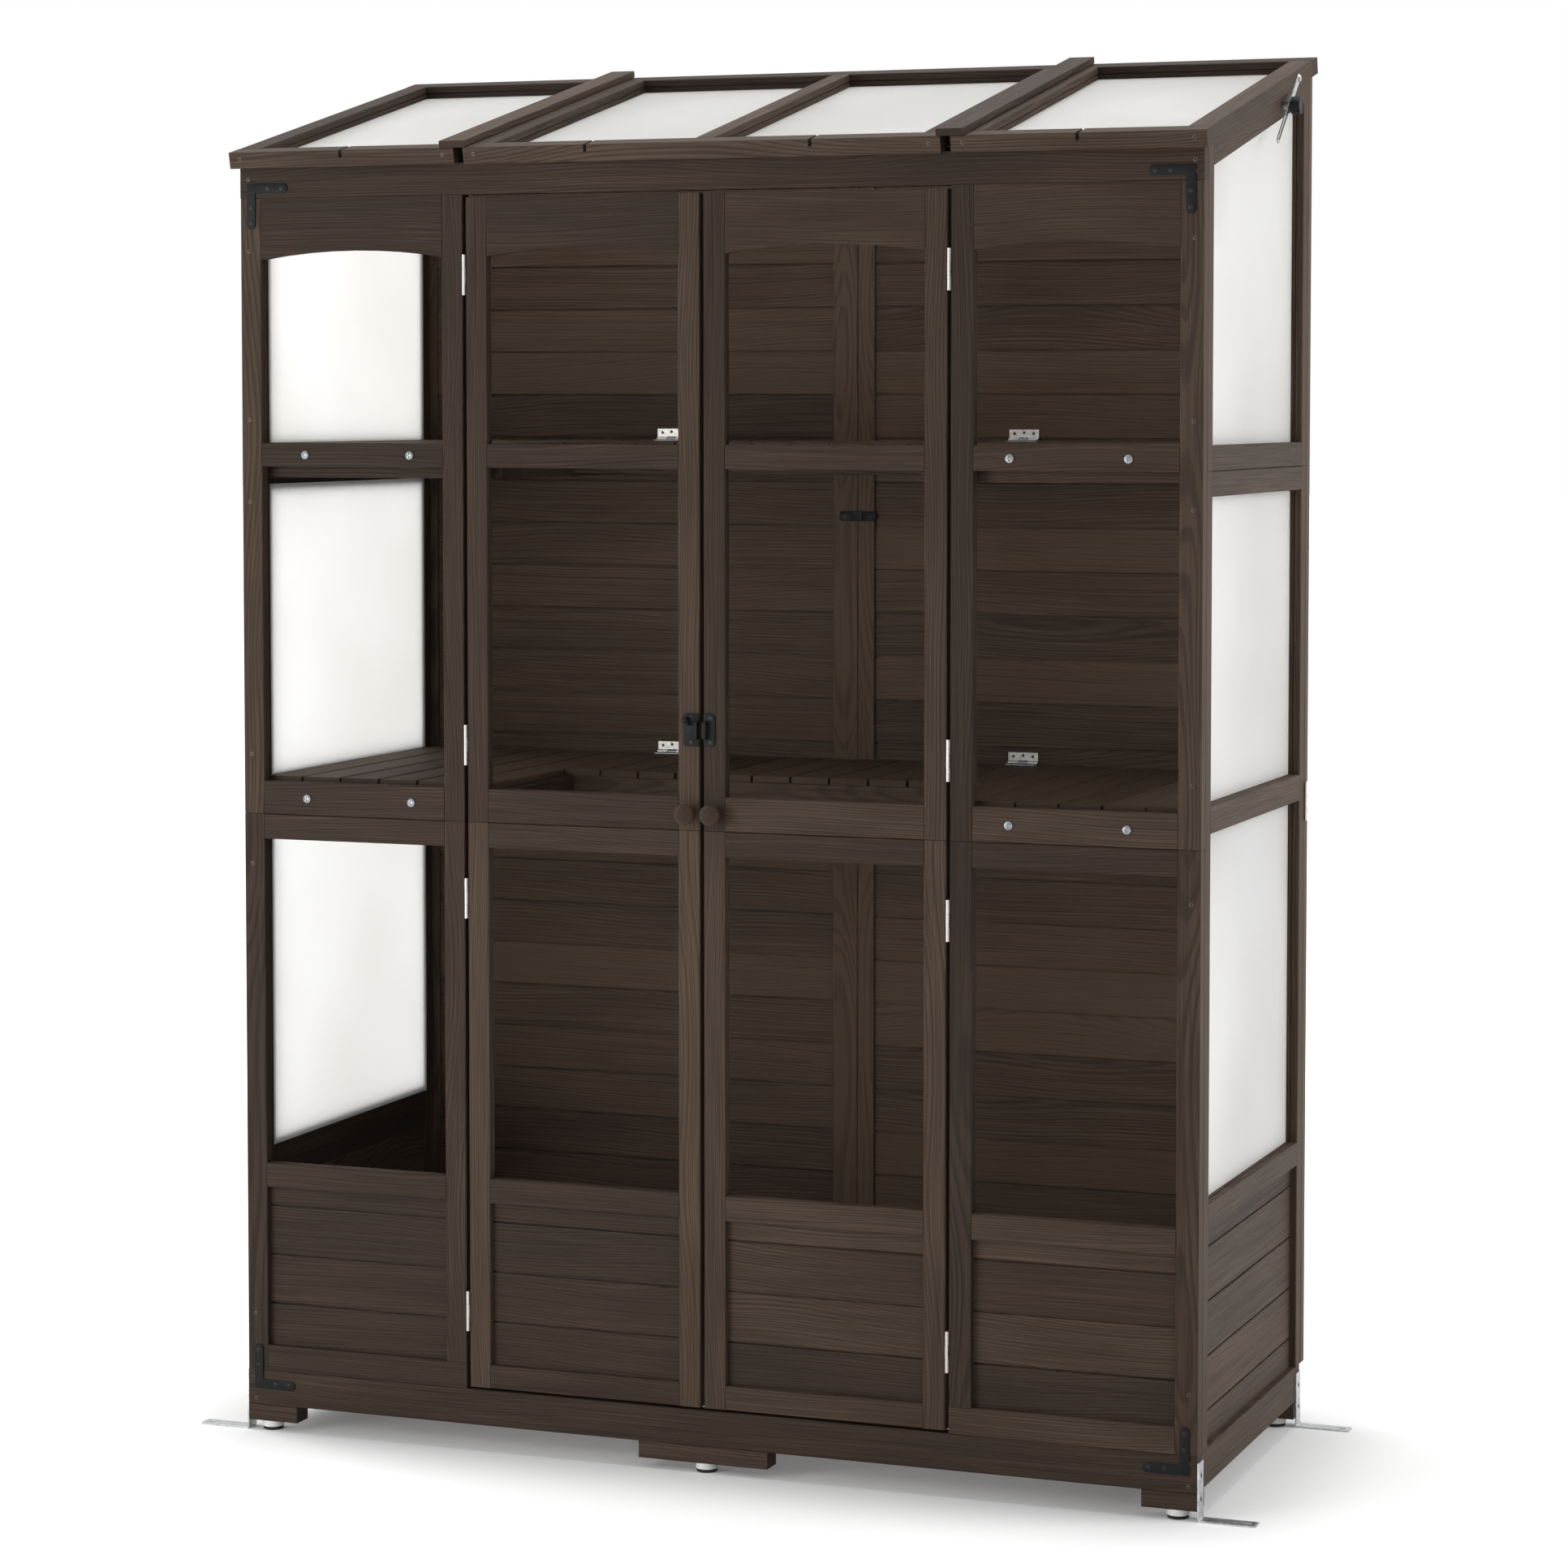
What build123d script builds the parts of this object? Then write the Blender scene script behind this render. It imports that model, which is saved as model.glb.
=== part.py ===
from build123d import *
from math import cos, hypot, radians, sin, tan
import os

# Overall size of the cabinet, without knobs, hinges and ground anchors
cabinet_width = 1430.0
cabinet_depth = 600.0
roof_angle = 13.0

# Timber sections shared by the panels
panel_thickness = 22.0
stile_width = 32.0
side_stile_width = 28.0
timber_ease = 1.0
tier_seam = 0.6

# Panes lie in a rebate at the back of their frame, behind a fine shadow groove
rebate_width = 8.0
rebate_depth = 5.0
pane_thickness = 4.0
pane_edge_gap = 0.5
shadow_set = 10.0
shadow_width = 1.5
shadow_depth = 2.0

# Feet and base frame
glide_height = 14.0
glide_radius = 16.0
glide_inset = 31.0
foot_block_height = 24.0
foot_block_depth = 35.0
corner_block_length = 78.0
centre_block_length = 194.0
base_rail_height = 51.0
base_back_inset = 28.0

# Front wall, from the meeting line of the doors outwards
meeting_gap = 6.0
door_width = 355.0
hinge_gap = 5.5
door_end_gap = 4.0
door_inset = 1.0

# Front wall, from the base frame upwards
bottom_rail_height = 37.5
board_field_height = 233.0
lower_rail_height = 35.0
lower_pane_height = 474.0
tier_rail_height = 36.0
shelf_rail_height = 47.5
middle_pane_height = 455.0
mid_rail_height = 34.0
upper_pane_height = 263.5
arch_rise = 11.5
arch_board_height = 87.5
header_height = 45.0

# Boards that close the lower panels and the back
board_thickness = 11.0
board_recess = 10.0
board_pitch = 72.0
bottom_board_cover = 62.6
board_groove = 3.0
board_fit = 0.4

# Side walls, from the base frame upwards
side_board_pitch = 75.0
side_bottom_board_cover = 44.0
side_board_field_height = 298.0
side_lower_rail_height = 34.0
side_lower_pane_height = 501.0
side_middle_rail_height = 38.0
side_middle_pane_height = 414.0
side_split_rail_height = 34.0
slope_rail_height = 34.0

# Back wall of two panels, which folds on hinges at the corners for packing
back_thickness = 20.0
corner_seam = 2.0
back_seam_offset = 22.0
back_seam_gap = 0.5
back_outer_stile_width = 34.0
back_left_stile_width = 39.5
back_right_stile_width = 26.0
back_rail_height = 38.0
back_board_recess = 4.5
back_board_pitch = 66.0

# Roof of a fixed middle panel and two opening lights
roof_thickness = 24.0
roof_front_overhang = 15.0
roof_end_overhang = 8.0
light_width = 355.0
roof_gap = 14.5
light_seat_gap = 0.4
roof_stile_width = 34.0
roof_rail_width = 34.0
roof_bar_width = 28.0
drain_width = 5.0
drain_depth = 11.0
batten_width = 38.5
batten_thickness = 10.0
batten_lap = 4.5
batten_nose = 3.0
batten_fit = 0.3

# Hinges, all of one section
knuckle_radius = 2.5
pin_radius = 1.4
pin_clearance = 0.05
knuckle_gap = 0.3
leaf_thickness = 1.2
leaf_gap = 2.75
leaf_start = 3.2
door_hinge_length = 57.0
door_leaf_reach = 18.0
door_axis_lead = 1.0
door_hinge_inset = 109.0
light_hinge_length = 50.0
light_leaf_reach = 19.0
light_hinge_inset = 70.0
shelf_hinge_length = 46.0
shelf_leaf_reach = 15.0
shelf_hinge_offset = 284.0
corner_hinge_length = 57.0
corner_leaf_width = 21.0
corner_hinge_rise = 830.0

# Shelves on two levels
slat_thickness = 10.0
slat_gap = 4.0
side_slat_count = 6
folding_slat_count = 11
folding_shelf_width = 656.0
folding_shelf_depth = 310.0
folding_shelf_gap = 1.0
folding_seat_gap = 0.4
lower_shelf_proud = 6.0
bearer_height = 40.0
bearer_thickness = 22.0
beam_width = 30.0
bearer_fit = 0.3
apron_height = 36.0
apron_thickness = 20.0
shelf_end_gap = 1.0
shelf_rear_gap = 3.0

# Screws that hold the shelf bearers to the front wall
screw_spacing = 166.0
screw_offset = 9.25
screw_head_radius = 6.0
screw_head_height = 3.2
screw_shank_radius = 2.5
screw_shank_length = 38.0
screw_clearance = 0.1

# Knobs and latch of the doors
knob_radius = 15.0
knob_reach = 27.0
knob_base_radius = 9.5
knob_base_height = 3.0
knob_neck_radius = 7.0
knob_waist = 7.5
knob_shoulder_radius = 10.0
knob_head_start = 12.0
knob_widest = 18.0
knob_crown_radius = 9.5
knob_crown_drop = 2.6
latch_rise = 93.0
latch_plate_width = 23.0
latch_plate_height = 46.0
latch_plate_thickness = 2.0
latch_edge_gap = 0.5
latch_guide_width = 4.0
latch_guide_height = 26.0
latch_guide_depth = 8.0
bolt_height = 14.0
bolt_thickness = 4.0
bolt_clearance = 0.3
bolt_length = 20.0
bolt_throw = 10.0
bolt_tab_radius = 2.0
bolt_tab_inset = 2.4
bolt_tab_reach = 9.0
keeper_width = 17.0
keeper_loop_width = 6.0

# Stays of the opening lights
stay_pivot_back = 124.0
stay_stud_back = 184.0
stay_width = 10.0
stay_thickness = 2.0
stay_gap = 0.3
stay_head = 8.0
stay_tail = 88.0
stay_slot_width = 5.2
stay_slot_margin = 6.0
stay_pivot_radius = 2.2
stay_pivot_head_radius = 4.5
stay_pivot_head_height = 2.0
stay_pivot_depth = 14.0
stud_radius = 2.3
stud_collar_radius = 5.0
stud_reach = 11.5
stay_knob_radius = 13.0
stay_knob_height = 16.0
stay_knob_lobes = 6

# Black corner plates, panel connectors and galvanised ground anchors
plate_thickness = 2.0
corner_plate_leg = 65.0
corner_plate_width = 13.5
corner_plate_inset = 11.0
corner_plate_drop = 24.0
connector_height = 15.0
connector_length = 58.0
connector_drop = 80.0
side_connector_length = 47.0
side_connector_lap = 6.0
door_plate_length = 90.0
door_plate_width = 14.0
anchor_leg = 80.0
anchor_width = 24.0
anchor_thickness = 2.0
anchor_hole_radius = 2.75
anchor_hole_inset = 12.0

# Levels above the floor
base_z = glide_height + foot_block_height
panel_z = base_z + base_rail_height
boards_z = (panel_z + bottom_rail_height, panel_z + bottom_rail_height + board_field_height)
lower_rail_z = (boards_z[1], boards_z[1] + lower_rail_height)
lower_pane_z = (lower_rail_z[1], lower_rail_z[1] + lower_pane_height)
tier_rail_z = (lower_pane_z[1], lower_pane_z[1] + tier_rail_height)
upper_tier_z = tier_rail_z[1] + tier_seam
shelf_rail_z = (upper_tier_z, upper_tier_z + shelf_rail_height)
middle_pane_z = (shelf_rail_z[1], shelf_rail_z[1] + middle_pane_height)
mid_rail_z = (middle_pane_z[1], middle_pane_z[1] + mid_rail_height)
arch_spring_z = mid_rail_z[1] + upper_pane_height
upper_pane_z = (mid_rail_z[1], arch_spring_z + arch_rise)
header_z = (arch_spring_z + arch_board_height, arch_spring_z + arch_board_height + header_height)
front_panes_z = (lower_pane_z, middle_pane_z, upper_pane_z)
door_z = (panel_z + door_end_gap, header_z[0] - door_end_gap)
side_boards_z = (panel_z, panel_z + side_board_field_height)
side_lower_rail_z = (side_boards_z[1], side_boards_z[1] + side_lower_rail_height)
side_lower_pane_z = (side_lower_rail_z[1], side_lower_rail_z[1] + side_lower_pane_height)
side_middle_rail_z = (side_lower_pane_z[1], side_lower_pane_z[1] + side_middle_rail_height)
side_middle_pane_z = (side_middle_rail_z[1], side_middle_rail_z[1] + side_middle_pane_height)
side_split_rail_z = (side_middle_pane_z[1], side_middle_pane_z[1] + side_split_rail_height)
side_upper_z = side_split_rail_z[1] + tier_seam
side_upper_rail_z = (side_upper_z, side_upper_z + side_split_rail_height)
slope_rise = cabinet_depth * tan(radians(roof_angle))
roof_back_z = header_z[1] + slope_rise
above_roof_z = roof_back_z + roof_thickness
lower_shelf_z = shelf_rail_z[1] + lower_shelf_proud
upper_shelf_z = mid_rail_z[1]
shelf_levels = {"lower": lower_shelf_z, "upper": upper_shelf_z}

# The front face stands so that the box over knobs and light hinges is centred
hinge_reach = leaf_gap + knuckle_radius
front_face = (knob_reach - hinge_reach - cabinet_depth) / 2

# Places across the front, right half
half_width = cabinet_width / 2
door_inner = meeting_gap / 2
door_outer = door_inner + door_width
bay_inner = door_outer + hinge_gap
bay_stile_inner = (bay_inner, bay_inner + stile_width)
bay_stile_outer = (half_width - stile_width, half_width)
bay_opening = (bay_stile_inner[1], bay_stile_outer[0])
door_stile_inner = (door_inner, door_inner + stile_width)
door_stile_outer = (door_outer - stile_width, door_outer)
door_opening = (door_stile_inner[1], door_stile_outer[0])
door_thickness = panel_thickness - door_inset

# Places from front to back
base_depth = cabinet_depth - base_back_inset
back_inner = cabinet_depth - back_thickness
back_board_face = back_inner + back_board_recess
side_end = back_inner - corner_seam
side_stile_front = (panel_thickness, panel_thickness + side_stile_width)
side_stile_back = (side_end - side_stile_width, side_end)
side_opening = (side_stile_front[1], side_stile_back[0])

# Roof places along the slope and across it
slope_cos = cos(radians(roof_angle))
slope_sin = sin(radians(roof_angle))
roof_back = cabinet_depth / slope_cos
roof_span = (-roof_front_overhang, roof_back)
roof_front_rail = (roof_span[0], roof_span[0] + roof_rail_width)
roof_back_rail = (roof_back - roof_rail_width, roof_back)
roof_pane_span = (roof_front_rail[1], roof_back_rail[0])
roof_half = half_width + roof_end_overhang
light_x = (roof_half - light_width, roof_half)
middle_half = light_x[0] - roof_gap
light_thickness = roof_thickness - light_seat_gap
light_pane_x = (light_x[0] + roof_stile_width, light_x[1] - roof_stile_width)
middle_pane_x = (roof_bar_width / 2, middle_half - roof_stile_width)
batten_x = (middle_half - batten_lap, middle_half - batten_lap + batten_width)

# Each panel is laid out in a frame of its own: X across, Y in from its face, Z up it
up = Vector(0, 0, 1)
roof_normal = Vector(0, -slope_sin, slope_cos)
roof_slope = Vector(0, slope_cos, slope_sin)
front = Plane((0, front_face, 0), x_dir=(1, 0, 0), z_dir=up)
right_side = Plane((half_width, front_face, 0), x_dir=(0, 1, 0), z_dir=up)
roof_seat = Vector(0, front_face, header_z[1])
roof = Plane(roof_seat + roof_normal * roof_thickness, x_dir=(1, 0, 0), z_dir=roof_slope)
roof_underside = Plane(roof_seat, x_dir=(1, 0, 0), z_dir=roof_normal)
right_slope = Plane(roof_seat + Vector(half_width, 0, 0), x_dir=roof_slope, z_dir=roof_normal)


def middle(limits):
    return sum(limits) / 2


def size(limits):
    return limits[1] - limits[0]


def grow(limits, amount):
    return (limits[0] - amount, limits[1] + amount)


# A box between limits along the axes of its frame
def block(x, y, z, frame=Plane.XY, mode=Mode.ADD):
    with Locations(frame.location * Location((middle(x), middle(y), middle(z)))):
        Box(size(x), size(y), size(z), mode=mode)


# A round bar along one axis of its frame
def rod(centre, length, radius, along, frame=Plane.XY, mode=Mode.ADD):
    turn = {"x": (0, 90, 0), "y": (90, 0, 0), "z": (0, 0, 0)}[along]
    with Locations(frame.location * Location(centre, turn)):
        Cylinder(radius, length, mode=mode)


# A length of timber with eased long edges
def timber(x, y, z, along, frame=front):
    spans = {"x": x, "y": y, "z": z}
    ways = {"x": frame.x_dir, "y": frame.y_dir, "z": frame.z_dir}
    first, second = {"x": "yz", "y": "zx", "z": "xy"}[along]
    start = {axis: middle(span) for axis, span in spans.items()}
    start[along] = spans[along][0]
    corner = frame.from_local_coords(Vector(start["x"], start["y"], start["z"]))
    with BuildSketch(Plane(corner, x_dir=ways[first], z_dir=ways[along])) as section:
        Rectangle(size(spans[first]), size(spans[second]))
        chamfer(section.vertices(), timber_ease)
    extrude(section.sketch, amount=size(spans[along]))


# The pane rebate at the back of an opening and the shadow groove in its reveal
def glazing(x, z, thickness, frame):
    rebate = (thickness - rebate_depth, thickness)
    block(grow(x, rebate_width), rebate, grow(z, rebate_width), frame, Mode.SUBTRACT)
    groove = (shadow_set, shadow_set + shadow_width)
    block(grow(x, shadow_depth), groove, grow(z, shadow_depth), frame, Mode.SUBTRACT)


def pane(x, z, thickness, frame):
    reach = rebate_width - pane_edge_gap
    set_back = thickness - rebate_depth
    block(grow(x, reach), (set_back, set_back + pane_thickness), grow(z, reach), frame)


# Horizontal boards, each with a rebate along its top edge that shows as a groove
def boards(x, y, z, first, pitch, frame, both_faces=False):
    start = frame.from_local_coords(Vector(x[0], 0, 0))
    with BuildSketch(Plane(start, x_dir=frame.y_dir, z_dir=frame.x_dir)) as section:
        low = z[0]
        top = z[0] + first
        while top < z[1]:
            lip = top - board_groove
            edge = top - board_fit
            tongue = (y[0] + board_groove, y[1] - board_groove if both_faces else y[1])
            rear = [(y[1], lip), (tongue[1], lip)] if both_faces else []
            face = [(tongue[0], edge), (tongue[0], lip), (y[0], lip)]
            with BuildLine():
                Polyline((y[0], low), (y[1], low), *rear, (tongue[1], edge), *face, close=True)
            make_face()
            low = top
            top = top + pitch
        with BuildLine():
            Polyline((y[0], low), (y[1], low), (y[1], z[1]), (y[0], z[1]), close=True)
        make_face()
    extrude(section.sketch, amount=size(x))


# The board over an upper pane, with an arched lower edge
def arch_board(x, top, thickness):
    with BuildSketch(Plane.XZ.offset(-front_face)) as outline:
        with BuildLine():
            Polyline((x[0], arch_spring_z), (x[0], top), (x[1], top), (x[1], arch_spring_z))
            crown = (middle(x), arch_spring_z + arch_rise)
            ThreePointArc((x[1], arch_spring_z), crown, (x[0], arch_spring_z))
        make_face()
    extrude(outline.sketch, amount=-thickness)


# One hinge leaf with its knuckles: X along the pin, Y along the leaf, Z to its seat
def hinge_leaf(frame, length, reach, holds_pin):
    third = length / 6
    seat = (leaf_gap - leaf_thickness, leaf_gap)
    ends = [(-length / 2, -third - knuckle_gap / 2), (third + knuckle_gap / 2, length / 2)]
    knuckles = ends if holds_pin else [(-third + knuckle_gap / 2, third - knuckle_gap / 2)]
    block((-length / 2, length / 2), (leaf_start, reach), seat, frame)
    for span in knuckles:
        rod((middle(span), 0, 0), size(span), knuckle_radius, "x", frame)
        block(span, (0, leaf_start), seat, frame)
    if holds_pin:
        rod((0, 0, 0), length, pin_radius, "x", frame)
    else:
        rod((0, 0, 0), length, pin_radius + pin_clearance, "x", frame, Mode.SUBTRACT)


# Fixed bays of the front wall
with BuildPart() as bay_stiles:
    timber(bay_stile_inner, (0, panel_thickness), (boards_z[0], tier_rail_z[1]), "z")
    timber(bay_stile_outer, (0, panel_thickness), (panel_z, tier_rail_z[1]), "z")
    for stile in (bay_stile_inner, bay_stile_outer):
        timber(stile, (0, panel_thickness), (upper_tier_z, header_z[0]), "z")
    for pane_z in front_panes_z:
        glazing(bay_opening, pane_z, panel_thickness, front)
    mirror(about=Plane.YZ)

screw_middle = middle(bay_opening) - screw_offset
screw_x = (screw_middle - screw_spacing / 2, screw_middle + screw_spacing / 2)
screw_z = (middle(shelf_rail_z), middle(mid_rail_z))
screw_places = [(x, z) for x in screw_x for z in screw_z]
screw_hole = screw_shank_radius + screw_clearance

with BuildPart() as bay_rails:
    timber((bay_inner, bay_opening[1]), (0, panel_thickness), (panel_z, boards_z[0]), "x")
    for rail_z in (lower_rail_z, tier_rail_z, shelf_rail_z, mid_rail_z):
        timber(bay_opening, (0, panel_thickness), rail_z, "x")
    arch_board(bay_opening, header_z[0], panel_thickness)
    for pane_z in front_panes_z:
        glazing(bay_opening, pane_z, panel_thickness, front)
    for x, z in screw_places:
        rod((x, panel_thickness / 2, z), panel_thickness, screw_hole, "y", front, Mode.SUBTRACT)
    mirror(about=Plane.YZ)

with BuildPart() as bay_panes:
    for pane_z in front_panes_z:
        pane(bay_opening, pane_z, panel_thickness, front)
    mirror(about=Plane.YZ)

board_y = (board_recess, board_recess + board_thickness)
with BuildPart() as bay_boards:
    boards(bay_opening, board_y, boards_z, bottom_board_cover, board_pitch, front)
    mirror(about=Plane.YZ)

# Room of a plate that ties the two tiers of a door together, let into the inside of a stile
def tier_plate(stile):
    across = (middle(stile) - door_plate_width / 2, middle(stile) + door_plate_width / 2)
    upright = (upper_tier_z - door_plate_length / 2, upper_tier_z + door_plate_length / 2)
    return across, (door_thickness - plate_thickness, door_thickness), upright


# Doors: the right one is drawn and the left one mirrors it
with BuildPart() as right_door_stiles:
    for stile in (door_stile_inner, door_stile_outer):
        timber(stile, (0, door_thickness), (door_z[0], tier_rail_z[1]), "z")
        timber(stile, (0, door_thickness), (upper_tier_z, door_z[1]), "z")
        block(*tier_plate(stile), front, Mode.SUBTRACT)
    for pane_z in front_panes_z:
        glazing(door_opening, pane_z, door_thickness, front)

with BuildPart() as right_door_rails:
    timber(door_opening, (0, door_thickness), (door_z[0], boards_z[0]), "x")
    for rail_z in (lower_rail_z, tier_rail_z, shelf_rail_z, mid_rail_z):
        timber(door_opening, (0, door_thickness), rail_z, "x")
    arch_board(door_opening, door_z[1], door_thickness)
    for pane_z in front_panes_z:
        glazing(door_opening, pane_z, door_thickness, front)

with BuildPart() as right_door_panes:
    for pane_z in front_panes_z:
        pane(door_opening, pane_z, door_thickness, front)

with BuildPart() as right_door_boards:
    door_board_y = (board_recess - door_inset, board_recess - door_inset + board_thickness)
    boards(door_opening, door_board_y, boards_z, bottom_board_cover, board_pitch, front)

with BuildPart() as right_door_plates:
    for stile in (door_stile_inner, door_stile_outer):
        block(*tier_plate(stile), front)

knob_x = middle(door_stile_inner)
knob_z = middle(shelf_rail_z)
with BuildPart() as right_door_knob:
    with BuildSketch(Plane((knob_x, front_face, knob_z), x_dir=(1, 0, 0), z_dir=up)):
        with BuildLine():
            Polyline(
                (0, 0),
                (knob_base_radius, 0),
                (knob_base_radius, -knob_base_height),
                (knob_neck_radius, -knob_waist),
                (knob_shoulder_radius, -knob_head_start),
                (knob_radius, -knob_widest),
                (knob_crown_radius, knob_crown_drop - knob_reach),
                (0, -knob_reach),
                close=True,
            )
        make_face()
    revolve(axis=Axis((knob_x, front_face, knob_z), (0, 1, 0)))

# Door hinges stand in the gap, with the pin just in front of the faces
door_axis = (door_outer + hinge_gap / 2, front_face - door_axis_lead)
tier_spans = ((door_z[0], tier_rail_z[1]), (upper_tier_z, door_z[1]))
door_hinge_z = [z for low, high in tier_spans for z in (low + door_hinge_inset, high - door_hinge_inset)]
with BuildPart() as right_door_leaves:
    for z in door_hinge_z:
        seat = Plane((*door_axis, z), x_dir=(0, 0, 1), z_dir=(-1, 0, 0))
        hinge_leaf(seat, door_hinge_length, door_leaf_reach, False)

with BuildPart() as left_door_stiles:
    mirror(right_door_stiles.part, about=Plane.YZ)
with BuildPart() as left_door_rails:
    mirror(right_door_rails.part, about=Plane.YZ)
with BuildPart() as left_door_panes:
    mirror(right_door_panes.part, about=Plane.YZ)
with BuildPart() as left_door_boards:
    mirror(right_door_boards.part, about=Plane.YZ)
with BuildPart() as left_door_plates:
    mirror(right_door_plates.part, about=Plane.YZ)
with BuildPart() as left_door_knob:
    mirror(right_door_knob.part, about=Plane.YZ)
with BuildPart() as left_door_leaves:
    mirror(right_door_leaves.part, about=Plane.YZ)

# Sliding latch: a case with a bolt on the left door, a keeper on the right one
latch_z = shelf_rail_z[1] + latch_rise
latch = Plane((0, front_face, latch_z), x_dir=(1, 0, 0), z_dir=up)
latch_edge = door_inner + latch_edge_gap
latch_plate_y = (-latch_plate_thickness, 0)
bolt_y = (-latch_plate_thickness - bolt_clearance - bolt_thickness, -latch_plate_thickness - bolt_clearance)
guide_y = (-latch_plate_thickness - latch_guide_depth, -latch_plate_thickness)
plate_half = latch_plate_height / 2
guide_half = latch_guide_height / 2
bolt_half = bolt_height / 2
bolt_tip = -latch_edge
with BuildPart() as latch_case:
    block((-latch_edge - latch_plate_width, -latch_edge), latch_plate_y, (-plate_half, plate_half), latch)
    guide_x = (-latch_edge - latch_guide_width, -latch_edge)
    block(guide_x, guide_y, (-guide_half, guide_half), latch)
    bolt_room = (bolt_y[0] - bolt_clearance, -latch_plate_thickness)
    bolt_room_z = grow((-bolt_half, bolt_half), bolt_clearance)
    block(guide_x, bolt_room, bolt_room_z, latch, Mode.SUBTRACT)

with BuildPart() as latch_bolt:
    block((bolt_tip - bolt_length, bolt_tip), bolt_y, (-bolt_half, bolt_half), latch)
    tab_place = (bolt_tip - bolt_length + bolt_tab_inset, bolt_y[0] - bolt_tab_reach / 2, 0)
    rod(tab_place, bolt_tab_reach, bolt_tab_radius, "y", latch)

with BuildPart() as latch_keeper:
    block((latch_edge, latch_edge + keeper_width), latch_plate_y, (-plate_half, plate_half), latch)
    loop_x = (latch_edge, latch_edge + keeper_loop_width)
    block(loop_x, guide_y, (-guide_half, guide_half), latch)
    block(loop_x, bolt_room, bolt_room_z, latch, Mode.SUBTRACT)

# Header and base rails, which run across the whole width
base_inner = half_width - panel_thickness
with BuildPart() as cross_rails:
    timber((-half_width, half_width), (0, panel_thickness), (header_z[0], above_roof_z), "x")
    split(bisect_by=roof_underside, keep=Keep.BOTTOM)
    timber((-half_width, half_width), (0, panel_thickness), (base_z, panel_z), "x")
    base_back_y = (base_depth - panel_thickness, base_depth)
    timber((-base_inner, base_inner), base_back_y, (base_z, panel_z), "x")

foot_rows = ((0, foot_block_depth), (base_depth - foot_block_depth, base_depth))
with BuildPart() as foot_blocks:
    for row in foot_rows:
        timber((half_width - corner_block_length, half_width), row, (glide_height, base_z), "x")
        timber((-half_width, corner_block_length - half_width), row, (glide_height, base_z), "x")
        timber((-centre_block_length / 2, centre_block_length / 2), row, (glide_height, base_z), "x")

glide_x = half_width - glide_inset
glide_places = [(x, front_face + middle(row), 0) for x in (-glide_x, 0, glide_x) for row in foot_rows]
with BuildPart() as foot_glides:
    with BuildSketch():
        with Locations(*glide_places):
            Circle(glide_radius)
    extrude(amount=glide_height)

# Side walls: the right one is drawn and mirrored
side_y = (0, panel_thickness)
pane_inset = panel_thickness - rebate_depth
with BuildPart() as side_stiles:
    for stile in (side_stile_front, side_stile_back):
        timber(stile, side_y, (panel_z, side_split_rail_z[1]), "z", right_side)
        timber(stile, side_y, (side_upper_z, above_roof_z), "z", right_side)
    glazing(side_opening, side_lower_pane_z, panel_thickness, right_side)
    glazing(side_opening, side_middle_pane_z, panel_thickness, right_side)
    glazing(side_opening, (side_upper_rail_z[1], above_roof_z), panel_thickness, right_side)
    split(bisect_by=roof_underside, keep=Keep.BOTTOM)
    mirror(about=Plane.YZ)

with BuildPart() as side_rails:
    timber((0, roof_back), side_y, (-slope_rail_height, 0), "x", right_slope)
    rebate_z = (-slope_rail_height - rebate_width, -slope_rail_height + rebate_width)
    block((0, roof_back), (pane_inset, panel_thickness), rebate_z, right_slope, Mode.SUBTRACT)
    shadow_z = (-slope_rail_height - shadow_depth, -slope_rail_height + shadow_depth)
    block((0, roof_back), (shadow_set, shadow_set + shadow_width), shadow_z, right_slope, Mode.SUBTRACT)
    split(bisect_by=Plane((0, front_face + side_opening[0], 0), z_dir=(0, 1, 0)), keep=Keep.TOP)
    split(bisect_by=Plane((0, front_face + side_opening[1], 0), z_dir=(0, 1, 0)), keep=Keep.BOTTOM)
    for rail_z in (side_lower_rail_z, side_middle_rail_z, side_split_rail_z, side_upper_rail_z):
        timber(side_opening, side_y, rail_z, "x", right_side)
    timber((panel_thickness, base_depth), side_y, (base_z, panel_z), "x", right_side)
    glazing(side_opening, side_lower_pane_z, panel_thickness, right_side)
    glazing(side_opening, side_middle_pane_z, panel_thickness, right_side)
    open_top = (side_upper_rail_z[1], side_upper_rail_z[1] + rebate_width)
    glazing(side_opening, open_top, panel_thickness, right_side)
    mirror(about=Plane.YZ)


# Height of the roof's underside at a distance behind the front face
def roof_height(y):
    return header_z[1] + y * tan(radians(roof_angle))


pane_reach = rebate_width - pane_edge_gap
with BuildPart() as side_panes:
    pane(side_opening, side_lower_pane_z, panel_thickness, right_side)
    pane(side_opening, side_middle_pane_z, panel_thickness, right_side)
    pane_face = Vector(half_width - pane_inset - pane_thickness, front_face, 0)
    with BuildSketch(Plane(pane_face, x_dir=(0, 1, 0), z_dir=(1, 0, 0))):
        with BuildLine():
            side_pane_y = grow(side_opening, pane_reach)
            side_pane_low = side_upper_rail_z[1] - pane_reach
            side_pane_drop = (slope_rail_height - pane_reach) / slope_cos
            Polyline(
                (side_pane_y[0], side_pane_low),
                (side_pane_y[1], side_pane_low),
                (side_pane_y[1], roof_height(side_pane_y[1]) - side_pane_drop),
                (side_pane_y[0], roof_height(side_pane_y[0]) - side_pane_drop),
                close=True,
            )
        make_face()
    extrude(amount=pane_thickness)
    mirror(about=Plane.YZ)

with BuildPart() as side_boards:
    boards(side_opening, board_y, side_boards_z, side_bottom_board_cover, side_board_pitch, right_side)
    mirror(about=Plane.YZ)

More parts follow.
